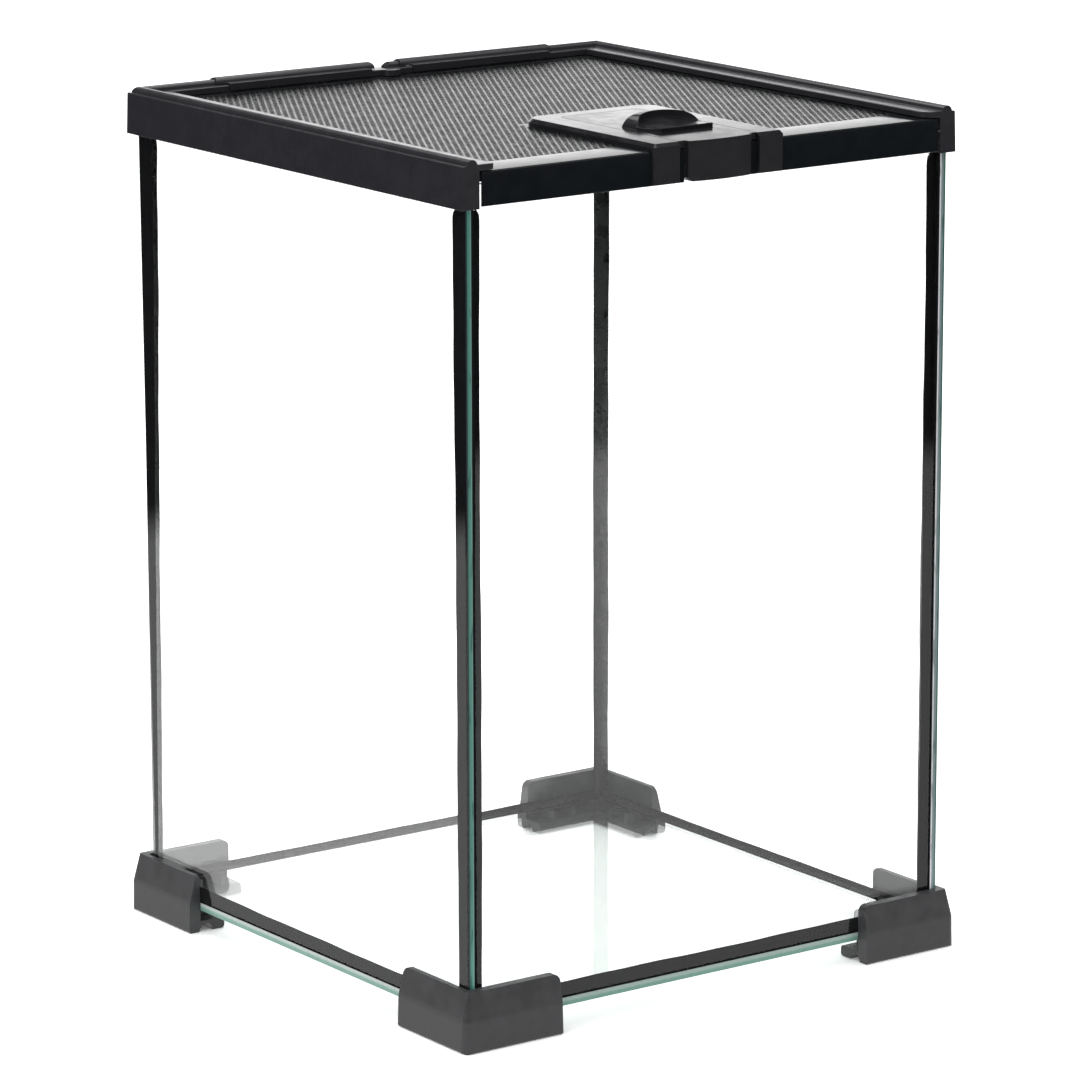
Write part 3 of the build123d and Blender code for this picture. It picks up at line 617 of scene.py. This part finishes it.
def new_piece(name: str, vertices: np.ndarray, faces: Faces, body: Body,
              materials: list[Material], replaces: tuple[str, ...] = (),
              smooth_angle: float | None = None,
              material_index: np.ndarray | None = None) -> None:
    """Put a mesh into the scene as a piece of the tank.

    Args:
        name: Name of the piece.
        vertices: Points, one row each, in metres.
        faces: Vertex numbers of each face, turning outwards.
        body: Body that carries the piece.
        materials: Materials of the piece.
        replaces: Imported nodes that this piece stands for.
        smooth_angle: Faces meeting below this angle shade smoothly, in degrees.
        material_index: Material of each face, if there is more than one.
    """
    mesh = bpy.data.meshes.new(name)
    mesh.from_pydata(np.asarray(vertices, float), [], faces)
    for material in materials:
        mesh.materials.append(material)
    if material_index is not None:
        mesh.polygons.foreach_set("material_index", np.asarray(material_index, np.int32))
    if smooth_angle is not None:
        mesh.polygons.foreach_set("use_smooth", np.ones(len(mesh.polygons), bool))
        mesh.set_sharp_from_angle(angle=math.radians(smooth_angle))
    mesh.validate()
    mesh.update()
    assign(new_object(name, mesh), body, replaces)


def grid_faces(rows: int, columns: int, wrap_rows: bool, wrap_columns: bool) -> Faces:
    """Quads over a grid of points stored row by row.

    Args:
        rows: Number of rows of points.
        columns: Number of points in a row.
        wrap_rows: Whether the last row joins the first.
        wrap_columns: Whether the last column joins the first.

    Returns:
        The quads.
    """
    i, j = np.meshgrid(np.arange(rows if wrap_rows else rows - 1),
                       np.arange(columns if wrap_columns else columns - 1), indexing="ij")
    i, j = i.ravel(), j.ravel()
    below, right = (i + 1) % rows, (j + 1) % columns
    quads = np.stack([i * columns + j, i * columns + right,
                      below * columns + right, below * columns + j], axis=1)
    return [tuple(quad) for quad in quads.tolist()]


def outward(vertices: np.ndarray, faces: Faces) -> Faces:
    """Turn a closed surface outwards by the sign of its volume.

    The volume is the sum over fan triangles of a . (b x c) / 6.

    Args:
        vertices: Points of the surface.
        faces: Consistently turned faces.

    Returns:
        The faces, all reversed where the volume was negative.
    """
    fans = [(f[0], f[k], f[k + 1]) for f in faces for k in range(1, len(f) - 1)]
    a, b, c = (vertices[list(corner)] for corner in zip(*fans))
    volume = np.einsum("ij,ij->i", a, np.cross(b, c)).sum()
    return faces if volume > 0 else [face[::-1] for face in faces]


def carried(rings: np.ndarray) -> tuple[np.ndarray, Faces]:
    """Closed solid through a row of like rings, with flat end caps.

    Args:
        rings: Points of shape (stations, points in a ring, 3).

    Returns:
        Vertices and outward faces.
    """
    stations, count, _ = rings.shape
    vertices = rings.reshape(-1, 3)
    faces = grid_faces(stations, count, False, True)
    first = tuple(range(count))
    last = tuple(range((stations - 1) * count, stations * count))
    return vertices, outward(vertices, faces + [first[::-1], last])


def softened(node: str, body: Body, material: Material,
             radius: float) -> None:
    """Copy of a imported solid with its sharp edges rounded, as moulding leaves them.

    Args:
        node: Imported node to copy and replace.
        body: Body that carries it.
        material: Finish of the piece.
        radius: Width of the rounding in metres.
    """
    mesh = frame["nodes"][node].data.copy()
    mesh.materials.clear()
    work = bmesh.new()
    work.from_mesh(mesh)
    bmesh.ops.remove_doubles(work, verts=work.verts, dist=MERGE)
    bmesh.ops.dissolve_limit(work, angle_limit=math.radians(FLAT), verts=work.verts,
                             edges=work.edges)
    work.to_mesh(mesh)
    work.free()
    mesh.materials.append(material)
    mesh.polygons.foreach_set("use_smooth", np.ones(len(mesh.polygons), bool))
    piece = new_object(f"{node}_moulded", mesh)
    bevel = piece.modifiers.new("edge_rounding", "BEVEL")
    bevel.width = radius
    bevel.segments = 2
    bevel.limit_method = "ANGLE"
    bevel.angle_limit = math.radians(SHARP)
    piece.modifiers.new("flat_faces_stay_flat", "WEIGHTED_NORMAL").weight = 100
    assign(piece, body, (node,))


# ---- glass tank
@dataclass
class GlassTank:
    """The five panes, each with its ground edges and small arrises."""

    finishes: Finishes
    arris: float = 0.30 * MM
    panes: dict[str, int] = field(default_factory=lambda: {
        "glass_base": 2, "glass_left": 0, "glass_right": 0, "glass_front": 1, "glass_rear": 1,
    })

    def build(self) -> None:
        """Make every pane from its packed box."""
        for node, thin_axis in self.panes.items():
            vertices, faces, index = self.pane(node, thin_axis)
            edge = self.finishes.base_edge if thin_axis == 2 else self.finishes.glass_edge
            new_piece(f"{node}_pane", vertices, faces, Body.TANK,
                      [self.finishes.glass, edge], (node,), material_index=index)

    def pane(self, node: str, thin_axis: int) -> tuple[np.ndarray, Faces, np.ndarray]:
        """Block with small flats along all its edges.

        Each corner becomes three points, one on each face it belongs to,
        drawn in by the arris along the other two axes.

        Args:
            node: Packed pane to follow.
            thin_axis: Axis across the glass.

        Returns:
            Vertices, outward faces, and the material of each face: 1 at the
            rim and, on the level pane, on the arrises too; 0 elsewhere.
        """
        low, high = (np.array(corner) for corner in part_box(node))
        middle, half = (low + high) / 2, (high - low) / 2
        corners = list(product((-1, 1), repeat=3))
        drawn = half - self.arris * (1 - np.eye(3))
        points = middle + np.array(corners)[:, None, :] * drawn[None, :, :]
        ground = 1 if thin_axis == 2 else 0
        faces: Faces = []
        index = []
        for axis in range(3):
            first, second = (axis + 1) % 3, (axis + 2) % 3

            def point(along: int, one: int, two: int) -> int:
                """Number of a corner's first point, from its signs."""
                sign = [along, one, two]
                return corners.index(tuple(sign[(k - axis) % 3] for k in range(3))) * 3

            for side in (-1, 1):
                loop = tuple(point(side, *turn) + axis
                             for turn in ((-1, -1), (1, -1), (1, 1), (-1, 1)))
                faces.append(loop[::side])
                index.append(0 if axis == thin_axis else 1)
            for one, two in product((-1, 1), repeat=2):
                start, stop = point(-1, one, two), point(1, one, two)
                quad = (start + first, stop + first, stop + second, start + second)
                faces.append(quad[::-one * two])
                index.append(ground)
        for corner, sign in enumerate(corners):
            faces.append((corner * 3, corner * 3 + 1, corner * 3 + 2)[::math.prod(sign)])
            index.append(ground)
        return points.reshape(-1, 3), faces, np.array(index)


# ---- silicone
@dataclass(frozen=True)
class Legs:
    """One upright seam: each value at its foot and at its top.

    Attributes:
        side: Reach along the side pane, in millimetres.
        end: Reach along the front or rear pane, in millimetres.
        filled: Share of the strip between the panes that is filled.
    """

    side: tuple[float, float]
    end: tuple[float, float]
    filled: tuple[float, float] = (1.0, 1.0)


@dataclass
class SiliconeSeams:
    """Hand-run silicone: four upright seams and one round the base."""

    finishes: Finishes
    legs: dict[tuple[End, Side], Legs] = field(default_factory=lambda: {
        (End.FRONT, Side.LEFT): Legs((3.9, 5.6), (4.0, 4.0)),
        (End.FRONT, Side.RIGHT): Legs((5.6, 5.2), (4.0, 4.0)),
        (End.REAR, Side.LEFT): Legs((1.6, 6.0), (2.8, 5.6), (0.1, 1.0)),
        (End.REAR, Side.RIGHT): Legs((5.6, 6.2), (2.7, 2.7)),
    })
    waves: tuple[Triple, ...] = ((0.5, 31 * MM, 1.0), (0.3, 11 * MM, 2.1), (0.2, 4.3 * MM, 3.7))
    base_near: float = 4.6 * MM
    base_far: float = 2.3 * MM
    bond: float = 0.5 * MM
    draw_in: float = 0.6
    draw_height: float = 1.1 * MM
    under_rail: tuple[float, float] = (0.6 * MM, 0.3 * MM)
    top_shares: Triple = (1.15, 0.06, 0.04)
    other_phase: float = 50 * MM
    arc_points: int = 8
    stations: int = 160
    turn: int = 2
    waviness: float = 0.07

    def build(self) -> None:
        """Make the base seam and the four corner seams."""
        self.base()
        for (side, end), node in zip(product(Side, End), corner_nodes("seal")):
            self.corner(side, end, node)

    def swell(self, s: np.ndarray, phase: float) -> np.ndarray:
        """How much a fillet swells and thins along a seam.

        It is one plus the sum of three sines of the distance.

        Args:
            s: Distance along the seam.
            phase: Start of the waves, different for each seam.

        Returns:
            Factor for the leg at each distance.
        """
        wave = sum(share * np.sin(s / length + shift * phase)
                   for share, length, shift in self.waves)
        return 1 + self.waviness * wave

    def hollow(self) -> tuple[np.ndarray, np.ndarray]:
        """Both parts of the hollow arc of a fillet, as shares of its leg."""
        quarter = np.linspace(0, math.pi / 2, self.arc_points)
        return 1 - np.sin(quarter), 1 - np.cos(quarter)

    def run(self, node: str, vertices: np.ndarray, faces: Faces, ring: int, lead: int) -> None:
        """Make a seam, glossy on its arc and dull where it lies on glass.

        Args:
            node: Packed seam to replace.
            vertices: Points of the seam.
            faces: Outward faces, first those between rings.
            ring: Number of points in a ring.
            lead: Points of a ring before its arc.
        """
        column = np.arange(len(faces)) % ring
        free = (column >= lead) & (column < lead - 1 + self.arc_points)
        new_piece(f"{node}_run", vertices, faces, Body.TANK,
                  [self.finishes.silicone, self.finishes.bonded], (node,),
                  smooth_angle=SMOOTH_SEAM, material_index=np.where(free, 0, 1))

    def corner(self, side: Side, end: End, node: str) -> None:
        """Upright seam: a strip between two panes and a hollow fillet inside.

        The ring in plan is the strip's outline and a quarter ellipse about
        the point one leg in from both panes; it is carried up the corner,
        and is drawn in by an exponential just below the lip at the frame.

        Args:
            side: Side of the tank.
            end: End of the tank.
            node: Packed seam to follow.
        """
        low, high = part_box(node)
        inner_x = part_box("glass_right")[0].x
        inner_y, outer_y = (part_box("glass_rear")[k].y for k in (0, 1))
        rail_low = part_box("rail_left")[0].z
        below, lip = self.under_rail
        z = np.concatenate([np.linspace(low.z, rail_low - below, self.stations),
                            [rail_low - lip, rail_low, high.z]])
        phase = 1.0 + 2 * side.value + end.value
        grow = self.swell(z, phase) - self.draw_in * np.exp((z - rail_low) / self.draw_height)
        grow[-3:] = self.top_shares
        across, along = self.hollow()
        other = self.swell(z + self.other_phase, phase) - self.swell(z, phase)
        ends, legs = (z[0], z[-4]), self.legs[end, side]
        side_leg = np.interp(z, ends, np.array(legs.side) * MM) * (grow + other)
        end_leg = np.interp(z, ends, np.array(legs.end) * MM) * grow
        u = inner_x - end_leg[:, None] * across
        v = inner_y - side_leg[:, None] * along
        u[:, -1] += EMBED
        v[:, 0] += EMBED
        filled = np.interp(z, ends, legs.filled)[:, None]
        outer = inner_y + (outer_y - SETBACK - inner_y) * filled
        ones = np.ones((len(z), 1))
        narrow = (inner_x - self.bond - EMBED) * ones
        ring_u = np.hstack([(inner_x + EMBED) * ones, narrow, narrow, u])
        ring_v = np.hstack([outer, outer, (inner_y + EMBED) * ones, v])
        height = np.repeat(z[:, None], ring_u.shape[1], axis=1)
        rings = np.stack([side.value * ring_u, end.value * ring_v, height], axis=2)
        self.run(node, *carried(rings), rings.shape[1], 3)

    def base(self) -> None:
        """Seam round the base: thin under the panes, a hollow fillet inside.

        The section is carried round a rectangle; a point with inset d lies
        on the rectangle whose half sides are those of the panes less d.
        """
        low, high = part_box("seal_base")
        inner = np.array([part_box("glass_right")[0].x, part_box("glass_rear")[0].y])
        outer = high.x - inner[0]
        bottom, top = low.z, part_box("glass_left")[0].z
        count = self.stations // 2
        run = np.linspace(-1, 1, count, endpoint=False)
        fixed = np.ones(count)
        sides = ((run, -fixed), (fixed, run), (-run, fixed), (-fixed, -run))
        path = np.concatenate([np.stack(side, 1) for side in sides])
        distance = np.arange(len(path)) * 2 * inner[0] / count
        ends = np.repeat([self.base_near, self.base_far, self.base_far, self.base_near], 2)
        corners = np.arange(5)[:, None] * count + np.array([-self.turn, self.turn])
        mean = np.interp(np.arange(len(path)), corners.ravel()[1:-1], ends)
        leg = (mean * self.swell(distance, 0.7))[:, None]
        across, along = self.hollow()
        ones = np.ones((len(path), 1))
        rim = (-outer + SETBACK) * ones
        rise = top + leg * along
        under = (bottom - EMBED) * ones
        inset = np.hstack([rim, leg, leg * across, -EMBED * ones, rim])
        height = np.hstack([under, under, rise, rise[:, -1:], (top + EMBED) * ones])
        x = path[:, :1] * (inner[0] - inset)
        y = path[:, 1:] * (inner[1] - inset)
        rings = np.stack([x, y, height], axis=2)
        vertices = rings.reshape(-1, 3)
        faces = outward(vertices, grid_faces(len(path), rings.shape[1], True, True))
        self.run("seal_base", vertices, faces, rings.shape[1], 2)


# ---- feet, frame
@dataclass
class CornerFeet:
    """Four moulded boots, with edges rounded as they leave the mould."""

    finishes: Finishes
    rounding: float = 0.5 * MM

    def build(self) -> None:
        """Dress the four feet."""
        for node in corner_nodes("foot"):
            softened(node, Body.TANK, self.finishes.feet, self.rounding)


@dataclass
class TopFrame:
    """Three moulded rails and the two covers that slide on the rear one."""

    finishes: Finishes
    rounding: float = 0.22 * MM
    cover_rounding: float = 0.12 * MM

    def build(self) -> None:
        """Dress the rails and the covers."""
        for node in ("rail_left", "rail_right", "rail_rear"):
            softened(node, Body.TANK, self.finishes.frame, self.rounding)
        for node, body in (("cable_cap_left", Body.COVER_LEFT),
                           ("cable_cap_right", Body.COVER_RIGHT)):
            softened(node, body, self.finishes.frame, self.cover_rounding)


# ---- lid
@dataclass
class PerforatedLid:
    """Coated sheet: a staggered field of six-sided holes and a folded front lip."""

    finishes: Finishes
    pitch: float = 2.5 * MM
    hole_radius: float = 1.05 * MM
    hole_turn: float = -150.0
    latch_share: float = 0.2
    field_half: float = 88.75 * MM
    field_front: float = -86.8 * MM
    bend: float = 1.0 * MM
    bend_steps: int = 6
    margin: float = 6.0 * MM
    notch_half: float = 13.55 * MM
    notch_depth: float = 1.9 * MM
    lip_spare: float = 0.7 * MM
    lip_chamfer: float = 0.15 * MM

    def build(self) -> None:
        """Make the perforated field and the front fold."""
        self.low, self.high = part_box("lid_sheet")
        self.top = self.high.z
        self.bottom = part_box("latch_backing_plate")[1].z
        self.perforate()
        self.fold()

    def perforate(self) -> None:
        """Perforated field, left whole under the latch's housing.

        The sheet is a lattice of half pitches by rows, each row
        pitch x sin 60 deep. A hole takes two half pitches, is centred on
        their common line, and alternate rows start half a pitch later. Its
        six-sided rim is joined to the six lattice points around it.
        """
        half = self.pitch / 2
        row_depth = self.pitch * math.sin(math.radians(60))
        rear = self.high.y
        rows = int((rear - self.margin - self.field_front) / row_depth)
        columns = int(round(2 * self.field_half / half))
        lines_x = np.concatenate([[self.low.x], (np.arange(columns + 1) - columns / 2) * half,
                                  [self.high.x]])
        lines_y = np.concatenate([self.field_front + np.arange(rows + 1) * row_depth, [rear]])
        nx, ny = len(lines_x), len(lines_y)
        lattice = np.stack(np.meshgrid(lines_x, lines_y), axis=-1).reshape(-1, 2)

        row, cell = np.meshgrid(np.arange(rows), np.arange(columns // 2), indexing="ij")
        start = 1 + 2 * cell + row % 2
        row, start = row.ravel(), start.ravel()
        centre = np.stack([lines_x[start + 1], lines_y[row] + row_depth / 2], axis=1)
        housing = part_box("latch_housing")[1]
        spare = self.pitch * self.latch_share
        covered = (np.abs(centre[:, 0]) < housing.x + spare) & (centre[:, 1] < housing.y + spare)
        keep = (start + 2 <= nx - 2) & ~covered
        row, start, centre = row[keep], start[keep], centre[keep]

        angle = np.radians(self.hole_turn + 60 * np.arange(6))
        rim = centre[:, None, :] + self.hole_radius * np.stack([np.cos(angle), np.sin(angle)], 1)
        plan = np.concatenate([lattice, rim.reshape(-1, 2)])
        total = len(plan)
        hole = len(lattice) + 6 * np.arange(len(row))[:, None] + np.arange(6)
        below = row * nx + start
        above = below + nx
        around = np.stack([below, below + 1, below + 2, above + 2, above + 1, above], axis=1)
        quads = np.stack([around, np.roll(around, -1, axis=1), np.roll(hole, -1, axis=1), hole],
                         axis=2).reshape(-1, 4)

        taken = np.zeros((ny - 1, nx - 1), bool)
        taken[row, start] = taken[row, start + 1] = True
        free_row, free_column = np.nonzero(~taken)
        corner = free_row * nx + free_column
        plain = np.stack([corner, corner + 1, corner + nx + 1, corner + nx], axis=1)

        top_faces = np.concatenate([quads, plain]).tolist()
        bottom_faces = [[total + v for v in face[::-1]] for face in top_faces]
        following = np.roll(hole, -1, axis=1)
        walls = np.stack([hole, hole + total, following + total, following], axis=2)
        walls = walls.reshape(-1, 4)[:, ::-1].tolist()
        rim_loop = np.concatenate([np.arange(nx), nx * np.arange(1, ny) + nx - 1,
                                   nx * (ny - 1) + np.arange(nx - 2, -1, -1),
                                   nx * np.arange(ny - 2, 0, -1)])
        onward = np.roll(rim_loop, -1)
        sides = np.stack([rim_loop, rim_loop + total, onward + total, onward], axis=1).tolist()
        vertices = np.concatenate([np.column_stack([plan, np.full(total, z)])
                                   for z in (self.top, self.bottom)])
        faces = [tuple(face) for face in top_faces + bottom_faces + walls + sides]
        new_piece("lid_perforated_field", vertices, faces, Body.LID,
                  [self.finishes.field], ("lid_sheet",))

    def fold(self) -> None:
        """Plain front border, bend and lip, in three lengths.

        The section is two concentric quarter circles between flat runs; it
        is carried along X. The middle length stops behind the latch nose.
        """
        turn = np.linspace(0, math.pi / 2, self.bend_steps)
        inner = self.bend - (self.top - self.bottom)
        centre_y, centre_z = self.low.y + self.bend, self.top - self.bend
        outer_arc, inner_arc = (np.stack([centre_y - radius * np.sin(turn),
                                          centre_z + radius * np.cos(turn)], 1)
                                for radius in (self.bend, inner))
        face, foot, cut = self.low.y, self.low.z, self.lip_chamfer
        back = face + (self.bend - inner)
        full = np.concatenate([
            [[self.field_front, self.top]], outer_arc,
            [[face, foot + cut], [face + cut, foot], [back - cut, foot], [back, foot + cut]],
            inner_arc[::-1], [[self.field_front, self.bottom]],
        ])
        notch_rear = face + self.notch_depth
        flat = np.array([[self.field_front, self.top], [notch_rear, self.top],
                         [notch_rear, self.bottom], [self.field_front, self.bottom]])
        reach = self.high.x + self.lip_spare
        spans = ((-reach, -self.notch_half, full), (-self.notch_half, self.notch_half, flat),
                 (self.notch_half, reach, full))
        vertices, faces = np.zeros((0, 3)), []
        for x0, x1, section in spans:
            rings = np.stack([np.column_stack([np.full(len(section), x), section])
                              for x in (x0, x1)])
            points, quads = carried(rings)
            faces += [tuple(v + len(vertices) for v in quad) for quad in quads]
            vertices = np.concatenate([vertices, points])
        new_piece("lid_front_fold", vertices, faces, Body.LID,
                  [self.finishes.sheet], smooth_angle=SMOOTH_FOLD)


@dataclass
class ThumbLatch:
    """Housing, slider, backing plate and screws of the latch."""

    finishes: Finishes
    housing_rounding: float = 0.18 * MM
    slider_rounding: float = 0.10 * MM
    plate_rounding: float = 0.3 * MM
    screw_rounding: float = 0.15 * MM

    def build(self) -> None:
        """Dress the latch's pieces."""
        kit = self.finishes
        softened("latch_housing", Body.LID, kit.housing, self.housing_rounding)
        softened("latch_slider", Body.LATCH, kit.slider, self.slider_rounding)
        softened("latch_backing_plate", Body.LID, kit.frame, self.plate_rounding)
        for node in corner_nodes("latch_screw"):
            softened(node, Body.LID, kit.steel, self.screw_rounding)


# ---- studio
@dataclass
class Studio:
    """White floor, soft light and the camera."""

    camera_place: Triple = (-1.110776, -1.540656, 0.579816)
    yaw: float = 35.82
    pitch: float = 12.99
    roll: float = -0.108
    focal_px: float = 5546.25
    image_px: float = 1080.0
    sensor: float = 36.0
    floor_half: float = 8.0
    floor_white: float = 0.8
    floor_glow: float = 0.08
    sweep_centre: tuple[float, float] = (0.06, -0.085)
    sweep_radius: float = 0.87
    sweep_edge: float = 0.05
    exposure: float = 1.9
    sheen: float = 0.95
    inside_sheen: float = 1.4
    inside_reach: float = 0.07
    fill: float = 0.72
    room: float = 0.05
    backdrop: float = 1.9
    overhead: float = 2.0
    seen_white: float = 1.15
    aim: Triple = (0.0, 0.0, 0.2)
    lamps: tuple[tuple, ...] = (            # name, place, size in metres, power in watts
        ("lamp_above", (0.2, 0.7, 1.6), 1.2, 10.0),
        ("lamp_left", (-1.6, -0.2, 1.0), 1.0, 4.0),
    )

    def build(self) -> None:
        """Set up the floor, the world, the lamps, the camera and the view."""
        self.floor()
        self.world()
        self.light()
        self.camera()
        bpy.context.scene.view_settings.view_transform = "Standard"

    def floor(self) -> None:
        """Flat white floor that keeps the object's shadow.

        The eye sees it white through the glass too. In reflections only a
        disc of it round the object is white, as on a paper sweep, and in
        reflections inside the glass its left half glows brighter: a painted reflection.
        """
        half = self.floor_half
        mesh = bpy.data.meshes.new("floor")
        mesh.from_pydata([(-half, -half, 0), (half, -half, 0), (half, half, 0), (-half, half, 0)],
                         [], [(0, 1, 2, 3)])
        material, graph, place = start_material("floor_white")
        straight, mirrored, matt = graph.paths()
        offset = graph.vector("SUBTRACT", place, (*self.sweep_centre, 0.0))
        radius = graph.vector("LENGTH", offset, output="Value")
        disc = graph.ramp(radius, self.sweep_radius + self.sweep_edge,
                          self.sweep_radius - self.sweep_edge)
        albedo = graph.math("ADD", graph.product(matt, self.floor_white),
                            graph.product(straight, self.exposure))
        paper = graph.out("ShaderNodeBsdfDiffuse", {"Color": albedo})
        # painted reflection: inside the glass, reflections of the floor's left part glow brighter
        depth = graph.out("ShaderNodeLightPath", output="Transmission Depth")
        within = graph.math("GREATER_THAN", depth, ANY_BOUNCE)
        painted_reflection_boost = graph.product(within, graph.ramp(graph.axes(place)[0], self.inside_reach, 0.0,
                                                 0.0, self.inside_sheen))
        sheen = graph.product(disc, graph.math("ADD", painted_reflection_boost, self.sheen))
        painted_glow = graph.math("ADD", graph.product(straight, self.floor_glow),
                          graph.product(mirrored, sheen))
        light = graph.out("ShaderNodeEmission", {"Strength": painted_glow})
        graph.surface(graph.out("ShaderNodeAddShader", {0: paper, 1: light}))
        mesh.materials.append(material)
        new_object("floor", mesh)

    def world(self) -> None:
        """Even light, white where it is looked at, with a bright backdrop.

        Mirrored directions low over the backdrop, within about forty
        degrees of it, are brighter than white. A soft panel is overhead, and
        the rest of the room is dark.
        """
        world = bpy.data.worlds.new("studio")
        bpy.context.scene.world = world
        world.use_nodes = True
        graph = Graph(world.node_tree)
        straight, mirrored, _ = graph.paths()
        way = graph.out("ShaderNodeTexCoord", output="Generated")
        yaw = math.radians(self.yaw)
        ahead = (math.sin(yaw), math.cos(yaw), 0.0)
        along = graph.vector("DOT_PRODUCT", way, ahead, output="Value")
        upward = graph.axes(way)[2]
        behind = graph.product(graph.ramp(along, 0.60, 0.85, 0.0, self.backdrop),
                               graph.ramp(upward, 0.50, 0.15))
        above = graph.ramp(upward, 0.72, 0.95, self.room, self.overhead)
        level = graph.out("ShaderNodeMix", {0: mirrored, 2: self.fill,
                                            3: graph.math("ADD", behind, above)})
        strength = graph.out("ShaderNodeMix", {0: straight, 2: level, 3: self.seen_white})
        back = graph.out("ShaderNodeBackground", {"Color": (1, 1, 1), "Strength": strength})
        graph.add("ShaderNodeOutputWorld", {"Surface": back})

    def light(self) -> None:
        """One wide lamp above and behind, one weak lamp on the left."""
        for name, place, size, power in self.lamps:
            data = bpy.data.lights.new(name, "AREA")
            data.shape = "SQUARE"
            data.size = size
            data.energy = power
            lamp = new_object(name, data)
            lamp.location = place
            way = Vector(self.aim) - Vector(place)
            lamp.rotation_euler = way.to_track_quat("-Z", "Y").to_euler()

    def camera(self) -> None:
        """Camera solved from the edges of the tank."""
        data = bpy.data.cameras.new("camera")
        data.sensor_width = self.sensor
        data.lens = self.focal_px / self.image_px * self.sensor
        data.clip_end = 30.0
        camera = new_object("camera", data)
        turn = (Matrix.Rotation(-math.radians(self.yaw), 4, "Z")
                @ Matrix.Rotation(math.radians(90 - self.pitch), 4, "X")
                @ Matrix.Rotation(math.radians(self.roll), 4, "Z"))
        camera.matrix_world = Matrix.Translation(self.camera_place) @ turn
        bpy.context.scene.camera = camera


def main() -> None:
    """Build every sub-assembly in order."""
    logging.basicConfig(level=logging.INFO, format="%(name)s %(message)s")
    finishes = Finishes.build()
    for part in (GlassTank(finishes), SiliconeSeams(finishes), CornerFeet(finishes),
                 TopFrame(finishes), PerforatedLid(finishes), ThumbLatch(finishes)):
        log.info("building %s", type(part).__name__)
        part.build()
    Studio().build()


if __name__ == "__main__":
    main()
